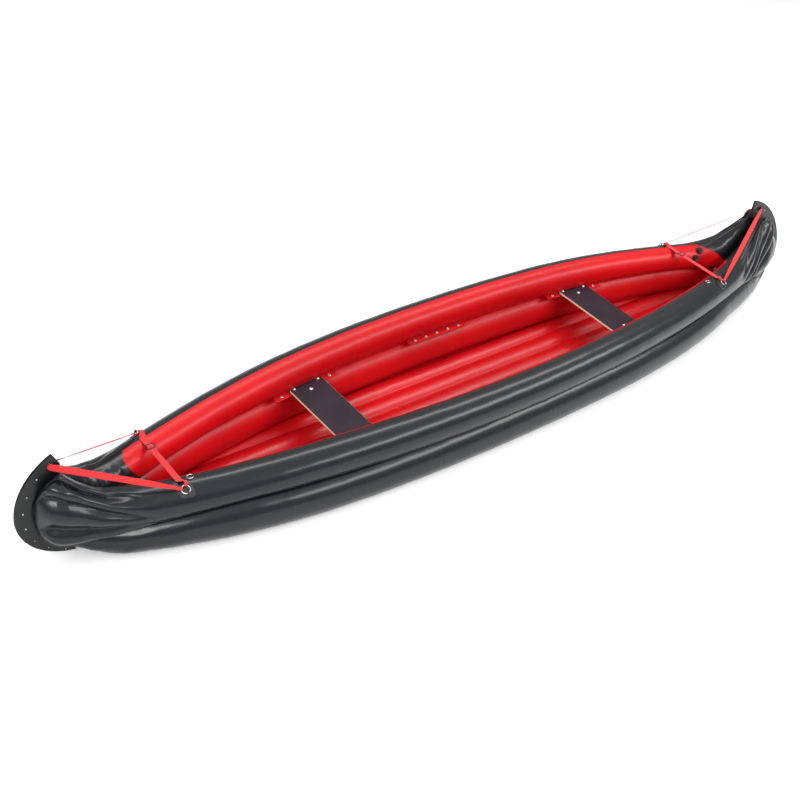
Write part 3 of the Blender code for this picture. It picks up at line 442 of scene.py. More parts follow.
def band(width, thickness):
    """Flat profile with round edges: half circles at both sides and points across the flats."""
    r = thickness / 2
    turn = np.radians(np.linspace(-80, 80, 7))
    cap = np.stack([width / 2 - r + r * np.cos(turn), r * np.sin(turn)], -1)
    flat = np.stack([np.linspace(width / 2 - 2 * r, 2 * r - width / 2, 5), np.full(5, r)], -1)
    return np.concatenate([cap, flat, -cap, -flat])


def turned(name, profile, origin, axis, steps=40, flutes=0, depth=0.0, looped=False):
    """A turned solid: profile rows (radius, height) about axis, with radius (1 + depth cos(flutes a)).

    Its ends are closed, or its last row joined to its first where it is looped.
    """
    axis = unit(axis)
    first = unit(np.cross(axis, OFF_AXIS if abs(axis[2]) < 0.9 else [1, 0, 0]))
    second = np.cross(axis, first)
    a = np.linspace(0, 2 * np.pi, steps, endpoint=False)
    radius, height = np.array(profile, float).T
    ripple = 1 + depth * np.cos(flutes * a)
    spokes = np.cos(a)[:, None] * first + np.sin(a)[:, None] * second
    ring = radius[:, None, None] * ripple[None, :, None] * spokes[None]
    points = np.asarray(origin) + ring + height[:, None, None] * axis
    return surface(name, points, looped, smooth=50.0 if looped else 40.0)


def rounded_step(radius, low, high, edge, count=5):
    """Profile rows of a disc's edge, from its top round to its underside."""
    turn = np.radians(np.linspace(90, 0, count))
    top = np.stack([radius - edge + edge * np.cos(turn), high - edge + edge * np.sin(turn)], -1)
    return top.tolist() + [[radius, low]]


# Shader maths
class Shade:
    """One shader socket: arithmetic on it adds Math nodes, and make adds any other node."""

    def __init__(self, tree, socket=None):
        self.tree, self.socket = tree, socket

    def make(self, kind, settings=None, values=None, output=0):
        """Add a node: its settings first, then numbers or links for its sockets."""
        node = self.tree.nodes.new("ShaderNode" + kind)
        for key, value in (settings or {}).items():
            setattr(node, key, value)
        for key, value in (values or {}).items():
            if isinstance(value, Shade):
                self.tree.links.new(value.socket, node.inputs[key])
            else:
                node.inputs[key].default_value = value
        return Shade(self.tree, node.outputs[output])

    def maths(self, operation, *values):
        return self.make("Math", {"operation": operation}, dict(enumerate(values)))

    def __add__(self, other):
        return self.maths("ADD", self, other)

    __radd__ = __add__

    def __sub__(self, other):
        return self.maths("SUBTRACT", self, other)

    def __rsub__(self, other):
        return self.maths("SUBTRACT", other, self)

    def __mul__(self, other):
        return self.maths("MULTIPLY", self, other)

    __rmul__ = __mul__

    def abs(self):
        return self.maths("ABSOLUTE", self)

    def sin(self):
        return self.maths("SINE", self)

    def step(self, low, high):
        """0 below low, 1 above high and smooth between them."""
        settings = {"interpolation_type": "SMOOTHSTEP"}
        return self.make("MapRange", settings, {"Value": self, "From Min": low, "From Max": high})

    def near(self, place, half, edge):
        """1 within half of place, falling to 0 over edge."""
        return 1 - (self - place).abs().step(half, half + edge)

    def blend(self, a, b):
        """Colour a where this is 0, b where it is 1."""
        a, b = ((*c, 1.0) if isinstance(c, tuple) else c for c in (a, b))
        return self.make("Mix", {"data_type": "RGBA"}, {0: self, 6: a, 7: b}, 2)

    def tint(self, colour, low, high):
        """The colour times low where this is 0, and times high where it is 1."""
        return self.blend(tuple(c * low for c in colour), tuple(min(1.0, c * high) for c in colour))


class Finish:
    """A new material with its Principled shader, and the sources that its patterns start from."""

    def __init__(self, name, **constants):
        self.material = bpy.data.materials.new(name)
        self.material.use_nodes = True
        tree = self.material.node_tree
        self.shader = tree.nodes["Principled BSDF"]
        self.start = Shade(tree)
        for key, value in constants.items():
            self.shader.inputs[key.replace("_", " ")].default_value = value
        self.place = self.start.make("TexCoord", output="Object")

    def mark(self, name):
        """A number that the mesh keeps at each of its points."""
        return self.start.make("Attribute", {"attribute_name": name}, output="Fac")

    def axis(self, name):
        """X, Y or Z of the place."""
        return self.start.make("SeparateXYZ", values={0: self.place}, output=name)

    def noise(self, scale, detail=3.0, stretch=None, roughness=0.5, seed=0.0):
        """Noise of that scale, its pattern stretched along an axis where stretch is less than 1."""
        where = self.place
        if stretch or seed:
            away = (seed, seed * 1.7, seed * 0.6)
            values = {"Vector": where, "Scale": stretch or (1, 1, 1), "Location": away}
            where = self.start.make("Mapping", values=values)
        values = {"Vector": where, "Scale": scale, "Detail": detail, "Roughness": roughness}
        return self.start.make("TexNoise", values=values)

    def bump(self, height, distance, strength=1.0, under=None):
        """Normals of a relief of that height, over those of the one under it."""
        values = {"Height": height, "Distance": distance, "Strength": strength}
        if under:
            values["Normal"] = under
        return self.start.make("Bump", values=values)

    def set(self, **links):
        """Link the shader's sockets and return the finished material."""
        for key, value in links.items():
            self.start.tree.links.new(value.socket, self.shader.inputs[key.replace("_", " ")])
        return self.material


# Colours
CHARCOAL = (0.0050, 0.0056, 0.0070)
SKIN_BLACK = (0.0055, 0.0062, 0.0078)
BLACK_DUST = (0.014, 0.0155, 0.018)
PATCH_GREY = (0.013, 0.014, 0.016)
RED = (0.40, 0.0026, 0.0050)
RAIL_RED = (0.39, 0.0026, 0.005)
TAPE_RED = (0.34, 0.0024, 0.004)
RED_DUST = (0.30, 0.0024, 0.004)
FLOOR_DUST = (0.28, 0.0024, 0.004)
WEBBING_RED = (0.47, 0.008, 0.010)
WEBBING_CORD = (0.57, 0.018, 0.019)
STEEL_GREY = (0.66, 0.66, 0.67)
ALUMINIUM_GREY = (0.62, 0.62, 0.63)
SHEET_BLACK = (0.0055, 0.0058, 0.0066)
MOULDING_BLACK = (0.007, 0.007, 0.008)
FILM_BROWN = (0.013, 0.0065, 0.0125)
FILM_DUST = (0.024, 0.015, 0.022)
PLY_DARK = (0.52, 0.37, 0.23)
PLY_LIGHT = (0.86, 0.72, 0.55)
PLY_GRAIN = (0.45, 0.30, 0.18)

# Pitches and widths of the patterns, and how soft a printed edge is
FABRIC_WEAVE = 4200.0
FILM_MESH = 2600.0
WEBBING_PICK = 0.0016
WEBBING_CORD_PITCH = 0.0024
WELD_TAPE = 0.016
WELD_EDGE = 0.0008
WELD_STATIONS = (-1.33, -0.62, 0.06, 0.74, 1.40)
COLOUR_EDGE = 0.0004
STEP_EDGE = 0.0010
VENEERS = 7


def fabric_grain(finish):
    """Coated cloth: a fine plain weave showing through, and a slight pebble."""
    weave = (finish.axis("X") * FABRIC_WEAVE).sin() * (finish.axis("Z") * FABRIC_WEAVE).sin()
    pebble = finish.noise(900.0, 2.0)
    return weave * 0.25 + pebble


def hull_fabric():
    """Two-tone coated fabric: charcoal outside and red inside, with taped seams and a bottom skin."""
    finish = Finish("hull_coated_fabric", Specular_IOR_Level=0.17, Coat_Roughness=0.18)
    inside, bottom, pucker = finish.mark("inside"), finish.mark("bottom"), finish.mark("pucker")
    x = finish.axis("X")
    cloud, dust = finish.noise(1.6, 4.0), finish.noise(38.0, 4.0, roughness=0.65)
    red, skin = (mark.step(-COLOUR_EDGE, COLOUR_EDGE) for mark in (inside, bottom))
    tapes = sum(x.near(station, WELD_TAPE, WELD_EDGE) for station in WELD_STATIONS)
    black = cloud.step(0.3, 0.7).tint(CHARCOAL, 0.86, 1.18)
    black = (skin * 0.55).blend(black, SKIN_BLACK)
    black = (dust.step(0.45, 0.8) * 0.30).blend(black, BLACK_DUST)
    lining = cloud.step(0.3, 0.7).tint(RED, 0.88, 1.10)
    lining = (dust.step(0.35, 0.75) * 0.25).blend(lining, RED_DUST)
    lining = (tapes * 0.35).blend(lining, TAPE_RED)
    roughness = 0.30 + dust * 0.08 + skin * 0.05
    folds = finish.noise(26.0, 3.0, (1.0, 1.0, 0.35), seed=3.0) * pucker
    ripples = finish.noise(70.0, 2.0, (1.0, 1.0, 0.25), seed=5.0) * pucker
    steps = inside.step(-STEP_EDGE, STEP_EDGE) * -0.5 + skin * 0.8 + tapes * 0.5
    normal = finish.bump(folds * 0.7 + ripples * 0.25, 0.012, 0.9)
    normal = finish.bump(steps, 0.0012, 0.8, normal)
    normal = finish.bump(fabric_grain(finish), 0.00012, 0.35, normal)
    shine = (1 - red) * 0.31 + 0.04
    base = red.blend(black, lining)
    return finish.set(Base_Color=base, Roughness=roughness, Coat_Weight=shine, Normal=normal)


def lining_fabric(name, colour=RED, rough=0.25):
    """Red coated fabric of the floor and rails."""
    finish = Finish(name, Specular_IOR_Level=0.30)
    cloud, dust = finish.noise(2.3, 4.0), finish.noise(42.0, 4.0, roughness=0.65)
    base = cloud.step(0.3, 0.7).tint(colour, 0.90, 1.08)
    base = (dust.step(0.35, 0.75) * 0.22).blend(base, FLOOR_DUST)
    soft = finish.noise(14.0, 3.0, (0.4, 1.0, 1.0))
    normal = finish.bump(soft, 0.0035, 0.5)
    normal = finish.bump(fabric_grain(finish), 0.00012, 0.35, normal)
    return finish.set(Base_Color=base, Roughness=rough + dust * 0.10, Normal=normal)


def patch_fabric():
    """Charcoal reinforcing patch, a little duller and creased."""
    finish = Finish("patch_fabric", Specular_IOR_Level=0.40)
    dust = finish.noise(60.0, 4.0, roughness=0.65)
    creases = finish.noise(85.0, 3.0, (0.5, 1.0, 1.0))
    normal = finish.bump(creases, 0.004, 0.9)
    normal = finish.bump(fabric_grain(finish), 0.00015, 0.4, normal)
    base = dust.step(0.35, 0.75).tint(PATCH_GREY, 0.85, 1.6)
    return finish.set(Base_Color=base, Roughness=0.42 + dust * 0.15, Normal=normal)


def webbing():
    """Woven red polyester tape: cords along it, picks across it and a tighter edge on both sides."""
    finish = Finish("red_webbing", Specular_IOR_Level=0.35, Sheen_Weight=0.15, Sheen_Roughness=0.5)
    run, side = finish.mark("run"), finish.mark("side")
    picks = (run * (2 * math.pi / WEBBING_PICK)).sin()
    cords = (side * (2 * math.pi / WEBBING_CORD_PITCH)).sin()
    edge = side.abs().step(STRAP_WIDTH / 2 - 0.0025, STRAP_WIDTH / 2 - 0.0018)
    weave = picks * cords * 0.5 + cords * 0.3 + edge * 0.4
    dust = finish.noise(160.0, 3.0)
    base = dust.step(0.3, 0.7).tint(WEBBING_RED, 0.93, 1.05)
    base = (weave.step(-0.3, 0.8) * 0.25).blend(base, WEBBING_CORD)
    return finish.set(Base_Color=base, Roughness=0.66 + dust * 0.12, Normal=finish.bump(weave, 0.0004, 0.8))


def plain_metal(name, colour, rough):
    """Drawn stainless steel or aluminium with fine scratches and slight tarnish."""
    finish = Finish(name, Metallic=1.0)
    scratches = finish.noise(700.0, 3.0, (1.0, 0.15, 1.0))
    tarnish = finish.noise(90.0, 3.0)
    base = tarnish.step(0.35, 0.75).tint(colour, 0.82, 1.05)
    roughness = rough + scratches * 0.12 + tarnish * 0.06
    return finish.set(Base_Color=base, Roughness=roughness, Normal=finish.bump(scratches, 0.00008, 0.4))


def moulded_plastic(name, colour=SHEET_BLACK, rough=0.36):
    """Black moulded or sheet plastic: faint grain, and paler scuffs."""
    finish = Finish(name, Specular_IOR_Level=0.30)
    grain, scuffs = finish.noise(1100.0, 2.0), finish.noise(30.0, 5.0, roughness=0.75)
    base = scuffs.step(0.52, 0.75).tint(colour, 0.9, 2.2)
    roughness = rough + scuffs * 0.14
    return finish.set(Base_Color=base, Roughness=roughness, Normal=finish.bump(grain, 0.0001, 0.4))


def seat_film():
    """Dark phenolic film over birch plywood: a fine mesh print pressed into the film, with light wear."""
    finish = Finish("seat_film", Specular_IOR_Level=0.18)
    x, y = finish.axis("X"), finish.axis("Y")
    mesh = (x * FILM_MESH).sin() * (y * FILM_MESH).sin()
    cloud, dust = finish.noise(9.0, 4.0), finish.noise(140.0, 4.0, roughness=0.7)
    base = cloud.step(0.3, 0.7).tint(FILM_BROWN, 0.80, 1.25)
    base = (dust.step(0.55, 0.8) * 0.35).blend(base, FILM_DUST)
    normal = finish.bump(mesh, 0.0002, 0.35)
    return finish.set(Base_Color=base, Roughness=0.33 + dust * 0.16, Normal=normal)


def ply_edge():
    """Bare birch ply edge: veneers in turn light and dark, with end grain."""
    finish = Finish("ply_edge", Specular_IOR_Level=0.3)
    z = finish.axis("Z")
    veneers = (z * (math.pi * VENEERS / BOARD_THICKNESS)).sin().step(-0.35, 0.35)
    grain = finish.noise(240.0, 4.0, (0.25, 0.25, 1.0), roughness=0.7)
    base = veneers.blend(PLY_DARK, PLY_LIGHT)
    base = (grain.step(0.4, 0.75) * 0.3).blend(base, PLY_GRAIN)
    return finish.set(Base_Color=base, Roughness=0.62 + grain * 0.1, Normal=finish.bump(grain, 0.0004, 0.5))


FABRIC = hull_fabric()
FLOOR_FABRIC = lining_fabric("floor_fabric")
RAIL_FABRIC = lining_fabric("rail_fabric", RAIL_RED, 0.36)
PATCH = patch_fabric()
WEBBING = webbing()
STEEL = plain_metal("stainless_steel", STEEL_GREY, 0.22)
ALUMINIUM = plain_metal("aluminium", ALUMINIUM_GREY, 0.32)
STEM_PLASTIC = moulded_plastic("stem_sheet_plastic")
VALVE_PLASTIC = moulded_plastic("valve_moulding", MOULDING_BLACK, 0.40)
FILM = seat_film()
PLY = ply_edge()


# Fold lines on the noses in side view, from the top: heights at distances from midships. The fabric
# swells between neighbouring lines, and between the lowest one and the seam
FOLDS = {
    1: (
        ((1.80, 1.90, 1.96, 2.06, 2.12), (0.250, 0.350, 0.430, 0.500, 0.530)),
        ((1.70, 1.82, 1.915, 1.975, 2.012, 2.08, 2.16), (0.165, 0.185, 0.240, 0.340, 0.430, 0.480, 0.490)),
        ((1.85, 1.95, 2.03, 2.07, 2.13, 2.22), (0.150, 0.180, 0.270, 0.360, 0.440, 0.450)),
        ((1.90, 2.00, 2.11, 2.14, 2.18, 2.26), (0.128, 0.150, 0.250, 0.330, 0.380, 0.370)),
    ),
    -1: (
        ((1.80, 1.928, 2.007, 2.053, 2.10), (0.290, 0.317, 0.361, 0.405, 0.437)),
        ((1.74, 1.87, 1.963, 2.045, 2.112), (0.205, 0.240, 0.279, 0.323, 0.357)),
        ((1.76, 1.869, 1.973, 2.051, 2.136), (0.178, 0.190, 0.190, 0.200, 0.215)),
    ),
}
FOLD_SWELL = 0.022
FOLD_WAY = {1: (0.74, 0.86), -1: (0.80, 0.89)}
FOLD_DEEPENING = 0.5
FOLD_DEEPENING_WAY = (0.88, 0.96)
FOLD_LEAST = 0.004
FOLD_ROUNDING = 0.02
FOLD_MEAN = 0.62
CREST_FADE = 0.85


def fold_relief(x, z, seam, top):
    """Swelling of the rolls between fold lines: sqrt(sin^2(pi u) + rounding) - mean, u rising by 1 a line.

    The topmost roll is a half one and fades towards the top, so that no fold runs along the crest.
    """
    total = np.zeros_like(x)
    for end, lines in FOLDS.items():
        heights = [top] + [np.interp(end * x, *line) for line in lines] + [seam]
        u = np.zeros_like(x)
        for k, (high, low) in enumerate(zip(heights, heights[1:])):
            low = np.minimum(low, high - FOLD_LEAST)
            u = u + share(z, low, high) * (0.5 if k == 0 else 1.0)
        roll = np.sqrt(np.sin(np.pi * u) ** 2 + FOLD_ROUNDING) - FOLD_MEAN
        way = end * x / nose(x)
        fade = ease(share(way, *FOLD_WAY[end])) * (1 + FOLD_DEEPENING * share(way, *FOLD_DEEPENING_WAY))
        crest = share(z, np.minimum(heights[1], top - FOLD_LEAST), top)
        total += FOLD_SWELL * roll * fade * (1 - CREST_FADE * crest) * (end * x > 0)
    return total


def waves(x, s, seed, count, longest, shortest, height, slant=0.7):
    """Uneven surface: a sum of plane waves over x and the arc s, from longest to shortest."""
    rng = np.random.default_rng(seed)
    total = np.zeros(np.broadcast(x, s).shape)
    for length in np.geomspace(longest, shortest, count):
        turn = rng.uniform(-slant, slant)
        phase = rng.uniform(0, 2 * np.pi)
        total = total + np.sin(2 * np.pi * (x * np.cos(turn) + s * np.sin(turn)) / length + phase)
    return height * total / math.sqrt(count)


# Tubes: how many rows and sides a mesh has, where the lining and the bottom skin end
TUBE_ROWS = 520
TUBE_SIDES = 128
GROUND_CLEARANCE = 0.0006
CREST_LEAN = {1: math.radians(0), -1: math.radians(30)}
LOWER_LINING_LEAN = 0.70
SKIN_LEAN = 0.50
STERN_LINE = (
    (0.02, 0.128, 0.257, 0.279, 0.294, 0.301, 0.320),
    (-1.610, -1.661, -1.759, -1.771, -1.773, -1.756, -1.660),
)
BOW_LINE = ((0.05, 0.221, 0.267, 0.292, 0.304, 0.320), (1.880, 1.863, 1.819, 1.778, 1.725, 1.680))

# Shares of the way to the nose between which each kind of unevenness starts, and the tips close
WAVES_WAY = (0.72, 0.92)
INBOARD_WAVES_WAY = (0.76, 0.86)
UPPER_TIP_WAY = (0.975, 0.999)
LOWER_TIP_WAY = (0.93, 0.965)
SEAM_FADE = 0.045
SEAM_PUCKER = 0.09


def lining_share(x, z, round_in):
    """Signed distance into the red lining: inboard of the crest, and short of both ends' panels."""
    bow = np.interp(z, *BOW_LINE) - x
    stern = x - np.interp(z, *STERN_LINE)
    return np.minimum(round_in, np.minimum(bow, stern))


def tube_relief(x, z, a, arc, t, section, upper, seed):
    """How far the fabric stands off the plain section: slight waves, and folds near the noses.

    a is the angle round the section, arc the length round it and t its share from seam to seam. The
    relief fades to nothing at both edges of the seam, at the tips and where the two walls meet.
    """
    _, middle, _, inner, up, _, seam = section
    way = np.abs(x) / nose(x)
    relief = waves(x, arc, seed, 6, 0.9, 0.12, 0.0005)
    relief += waves(x, arc * 1.5, seed + 20, 6, 0.20, 0.06, 0.0010, 1.3) * ease(share(way, *WAVES_WAY))
    if upper:
        relief += fold_relief(x, z, seam, middle + up) * share(np.cos(a), -0.35, 0.15)
        inboard = share(-np.cos(a), 0.2, 0.7) * ease(share(way, *INBOARD_WAVES_WAY))
        relief += waves(x, arc * 0.5, seed + 40, 7, 0.11, 0.028, 0.0020, 0.8) * inboard
        throat = np.sqrt(share(np.cos(a), -1.01, -0.2)) + share(inner, 0.03, 0.08)
        relief *= np.clip(throat, 0, 1)
    shut = 1 - ease(share(way, *(UPPER_TIP_WAY if upper else LOWER_TIP_WAY)))
    return relief * shut * ease(share(np.minimum(t, 1 - t), 0.0, SEAM_FADE))


def tube_pucker(x, a, t):
    """How strongly the fabric puckers, from 0 to 1: near the seam, and inboard at the ends."""
    ends = ease(share(np.abs(x) / nose(x), *WAVES_WAY))
    near_seam = np.exp(-np.minimum(t, 1 - t) / SEAM_PUCKER)
    pucker = np.clip(0.02 + 0.08 * near_seam + (0.12 + 0.35 * near_seam) * ends, 0, 1)
    return pucker + 0.45 * share(-np.cos(a), -0.1, 0.4) * ends


def side_tube(word, side, upper):
    """One air tube: half ellipses carried along the hull, round from the seam's outboard edge to its inboard.

    Ring points are (x, y + wide cos a, z + high sin a), then moved along their normals by the relief.
    """
    n = np.sin(np.pi / 2 * np.linspace(-1, 1, TUBE_ROWS + 1))
    n = n * (LAST_STATION if upper else by_end(n, LOWER_END))
    x = n * nose(n)
    section = (upper_section(x) if upper else lower_section(x))[:, :, None]
    y, z, outer, inner, up, down, seam = section
    t = np.linspace(0, 1, TUBE_SIDES)[None]
    turn = 1 if upper else -1
    start = np.arcsin(np.clip((turn * (z - seam) - GAP / 2) / down, -1, 1))
    sweep = (np.pi + 2 * start) * t
    a = turn * (sweep - start)
    if upper:
        arc = sweep * (outer + inner) / 2
        round_in = (sweep - start - np.pi / 2 - CREST_LEAN[side]) * (inner + up) / 2
        bottom = np.full(a.shape, -1.0)
    else:
        arc = sweep * down
        round_in = (sweep - start - np.pi / 2 - LOWER_LINING_LEAN) * down
        bottom = (sweep - start - SKIN_LEAN) * down
    wide = np.where(np.cos(a) > 0, outer, inner)
    high = np.where(np.sin(a) > 0, up, down)
    xs = np.broadcast_to(x[:, None], a.shape)
    points = np.stack([xs, side * (y + wide * np.cos(a)), z + high * np.sin(a)], -1)
    centre = np.stack(np.broadcast_arrays(xs, side * y, z), -1)
    seed = 11 + 2 * upper + (side > 0)
    relief = tube_relief(xs, points[..., 2], a, arc, t, section, upper, seed)
    points = points + grid_normals(points, centre) * relief[..., None]
    points[..., 1] = side * np.maximum(side * points[..., 1], STEM_SEAM)
    points[..., 2] = np.maximum(points[..., 2], GROUND_CLEARANCE)
    inside = lining_share(xs, points[..., 2], round_in)
    level = "upper" if upper else "lower"
    pucker = tube_pucker(xs, a, t)
    tube = surface(f"{word}_{level}_tube_fabric", points, inside=inside, bottom=bottom, pucker=pucker)
    dress(tube, FABRIC, "black_fabric", f"{word}_{level}_tube")


def floor_lift(x):
    """How far the floor's ends rise with the keel beyond its flat part."""
    return ROCKER * (np.maximum(np.abs(x), FLOOR_FLAT) ** 4 - FLOOR_FLAT**4) / PLAN_LENGTH**4


def floor_edge(x, z):
    """Half-breadth of the floor at height z, beside the lower tube."""
    y, centre, _, inner, radius, _, _ = lower_section(x)
    below = np.minimum(FLOOR_TUCK, (centre - z) / radius)
    return y - inner * np.sqrt(np.maximum(0, 1 - below**2)) - FLOOR_SEAM


def floor_chamber():
    """Ribbed mattress: z = low + h (cos^2(pi y / pitch) + rounding)^power, sides along the lower tubes."""
    x = np.linspace(FLOOR_ENDS[0] + 0.004, FLOOR_ENDS[1] - 0.004, FLOOR_ROWS)
    lift = floor_lift(x)[:, None]
    low, ribbed = FLOOR_TOP - FLOOR_RIB_HEIGHT, FLOOR_RIBS * FLOOR_RIB_PITCH / 2
    levels = np.linspace(low + 0.001, FLOOR_BOTTOM + 0.001, 8)
    sides = np.stack([floor_edge(x, level + lift[:, 0]) for level in levels], -1)
    sides = np.clip(sides, FLOOR_LEAST, ribbed + FLOOR_BORDER)
    edge = sides[:, :1]
    y = np.linspace(-1, 1, FLOOR_COLUMNS)[None] * edge
    arch = (np.cos(np.pi * y / FLOOR_RIB_PITCH) ** 2 + FLOOR_RIB_ROUNDING) ** FLOOR_RIB_POWER
    arch = arch * (np.abs(y) <= ribbed)
    round_over = np.sqrt(1 - share(np.abs(y), np.maximum(edge - FLOOR_ROUND, 0.0), edge + 0.002) ** 2)
    from_end = np.minimum(x - x[0], x[-1] - x)
    shut = np.sqrt(np.maximum(0, 1 - share(-from_end, -FLOOR_END_ROUND, 0.001) ** 2))[:, None]
    uneven = waves(x[:, None], y, 5, 6, 0.5, 0.10, 0.0006)
    top = low + FLOOR_RIB_HEIGHT * arch * round_over * shut + uneven * arch
    body = FLOOR_BOTTOM + (top - FLOOR_BOTTOM) * (0.35 + 0.65 * shut)
    right = np.stack([sides, np.broadcast_to(levels, sides.shape)], -1)[:, 1:]
    left = right[:, ::-1] * np.array([-1, 1])
    under = np.linspace(0.97, -0.97, FLOOR_UNDER_COLUMNS) * sides[:, -1:]
    under = np.stack([under, np.full(under.shape, FLOOR_BOTTOM)], -1)
    ring = np.concatenate([np.stack([y, body], -1), right, under, left], axis=1)
    xs = np.broadcast_to(x[:, None], ring.shape[:2])
    points = np.stack([xs, ring[..., 0], ring[..., 1] + lift], -1)
    floor = surface("floor_mattress", points, smooth=60)
    dress(floor, FLOOR_FABRIC, "red_fabric", "floor_chamber")


# Fittings on the tubes
def surface_frame(side, end, station, lean):
    """Point and axes on an upper tube: towards the stem, inboard across the tube, and outwards."""
    x = end * station
    y, z, outer, inner, up, down, _ = upper_at(x)
    a = math.radians(90 - lean)
    wide = outer if lean > 0 else inner
    high = up if math.sin(a) > 0 else down
    point = np.array([x, side * (y + wide * math.cos(a)), z + high * math.sin(a)])
    ahead = upper_at(x + end * 0.01)
    run = unit([end * 0.01, side * (ahead[0] - y), ahead[1] - z])
    out = unit([0, side * math.cos(a) / wide, math.sin(a) / high])
    out = unit(out - run * (out @ run))
    inboard = np.cross(run, out)
    return point, run, (-inboard if inboard[1] * side > 0 else inboard), out


def ring_frame(side, end):
    """The strap ring's centre and its axes."""
    point, run, inboard, out = surface_frame(side, end, STEMS[end].ring, STRAP_RING.lean)
    return point + out * STRAP_RING.lift, run, inboard, out


def slot_pull(end):
    """The strap slot's middle, the unit pull from it towards the rings, and the slot's long axis."""
    middle = STEM_PLATE_WIDTH / 2
    x, z = stem_points(STEMS[end], np.array(float(STEMS[end].slot_angle)), middle, middle)
    slot = np.array([end * float(x), 0, float(z)])
    pull = ring_frame(1, end)[0] - slot
    pull = unit([pull[0], 0, pull[2]])
    return slot, pull, np.array([-pull[2], 0, pull[0]]) * end * -1


def tube_patch(name, side, end, station, place):
    """A glued patch: an oval of the upper tube's surface, raised by its thickness and creased."""
    rows, columns = 44, 32
    u, v = np.linspace(-1, 1, rows)[:, None], np.linspace(-1, 1, columns)[None]
    x = end * station + u * place.patch_length / 2 * np.sqrt(1 - PATCH_OVAL * v**2)
    lean = np.radians(90 - place.lean + place.patch_arc / 2 * v * np.sqrt(1 - PATCH_OVAL * u**2))
    x, lean = np.broadcast_arrays(x, lean)
    y, z, outer, inner, up = upper_section(x.ravel())[:5].reshape(5, rows, columns)
    edge = np.minimum(1 - np.abs(u), 1 - np.abs(v))
    creases = np.abs(waves(x, lean * 0.1, 31, 5, 0.05, 0.012, 0.0008, 1.2)) * ease(share(edge, 0, 0.2))
    rise = GLUE + PATCH_THICKNESS * np.sqrt(share(edge, 0.0, 0.06)) + creases
    layers = []
    for lift in (rise, np.full(rise.shape, -PATCH_ROOT)):
        wide = np.where(np.cos(lean) > 0, outer, inner) + lift
        layers.append(np.stack([x, side * (y + wide * np.cos(lean)), z + (up + lift) * np.sin(lean)], -1))
    top, under = layers
    return surface(name, np.concatenate([top, under[:, ::-1]], axis=1), smooth=70)


def keeper(name, hold, towards, tangent, out, place):
    """A loop of tape over the ring's wire: r = bore + wall about the wire above, feet spread below."""
    r = place.wire + KEEPER_CLEARANCE + KEEPER_WALL / 2
    turn = np.radians(np.linspace(-10, 190, 19))
    over = np.stack([r * np.cos(turn), r * np.sin(turn)], -1)
    drop = PATCH_THICKNESS + GLUE * 2 - place.lift
    right = np.array([[r + 0.0095, drop], [r + 0.0055, drop + 0.0002], [r + 0.0016, drop + 0.0012]])
    path = np.concatenate([right, over, right[::-1] * np.array([-1, 1])])
    centres = hold + path[:, :1] * towards + path[:, 1:] * out
    across = np.broadcast_to(tangent, centres.shape)
    return carried(name, centres, across, band(place.keeper_length, KEEPER_WALL))


def wire_ring(name, hold, towards, tangent, out, place):
    """A round wire ring: a circle of radius + wire swept by a circle of the wire's radius."""
    radius = place.radius + place.wire
    turn = np.linspace(0, 2 * np.pi, 72, endpoint=False)[:, None]
    centre = hold - towards * radius
    path = centre + radius * (np.cos(turn) * towards + np.sin(turn) * tangent)
    wire = oval(place.wire, place.wire, 14)
    return carried(name, path, np.broadcast_to(out, path.shape), wire, looped=True)


def ring_set(word, side_word, side, end, tie):
    """One ring with its patch and keeper."""
    place = TIE_RING if tie else STRAP_RING
    station = STEMS[end].tie if tie else STEMS[end].ring
    point, run, inboard, out = surface_frame(side, end, station, place.lean)
    a = math.radians(place.keeper_angle)
    towards = run * math.cos(a) + inboard * math.sin(a)
    tangent = np.cross(out, towards)
    hold = point + out * place.lift + towards * (place.radius + place.wire)
    stem = f"{word}_tie" if tie else f"{word}_{side_word}"
    nodes = (f"{word}_tie_ring", f"{word}_tie_patch") if tie else (f"{stem}_strap_ring", f"{stem}_ring_patch")
    ring = wire_ring(f"{nodes[0]}_wire", hold, towards, tangent, out, place)
    dress(ring, STEEL, "steel", nodes[0], body=nodes[0] if tie else "hull")
    patch = tube_patch(f"{nodes[1]}_cloth", side, end, station, place)
    loop = keeper(f"{nodes[1]}_loop", hold, towards, tangent, out, place)
    dress(joined(patch.name, [patch, loop]), PATCH, "black_fabric", nodes[1])


def strap_loop(centre, direction, out):
    """Stations of a strap's end round a ring's wire: from under it, round it and back on top."""
    direction = unit(direction - out * (direction @ out))
    across = np.cross(out, direction)
    wire = centre + direction * (STRAP_RING.radius + STRAP_RING.wire)
    reach = STRAP_LOOP_RADIUS + STRAP_THICKNESS / 2
    stations = [(wire + direction * STRAP_TUCK - out * reach, across, STRAP_END_WIDTH)]
    for angle in (270, 250, 235, 220, 205, 190, 180, 170, 155, 140, 125, 108, 90):
        a = math.radians(angle)
        turn = direction * math.cos(a) + out * math.sin(a)
        stations.append((wire + turn * reach, across, STRAP_END_WIDTH))
    stations.append((wire + direction * STRAP_TUCK + out * reach, across, STRAP_END_WIDTH))
    return stations


def turned_across(a, b, t):
    """Direction between a and b, or -b where that is nearer, at the share t."""
    return unit(a * (1 - t) + (b if a @ b > 0 else -b) * t)


def aligned(stations):
    """Stations with every across vector on the same side as the one before."""
    found = []
    for centre, across, width in stations:
        if found and found[-1][1] @ across < 0:
            across = -across
        found.append((centre, across, width))
    return found


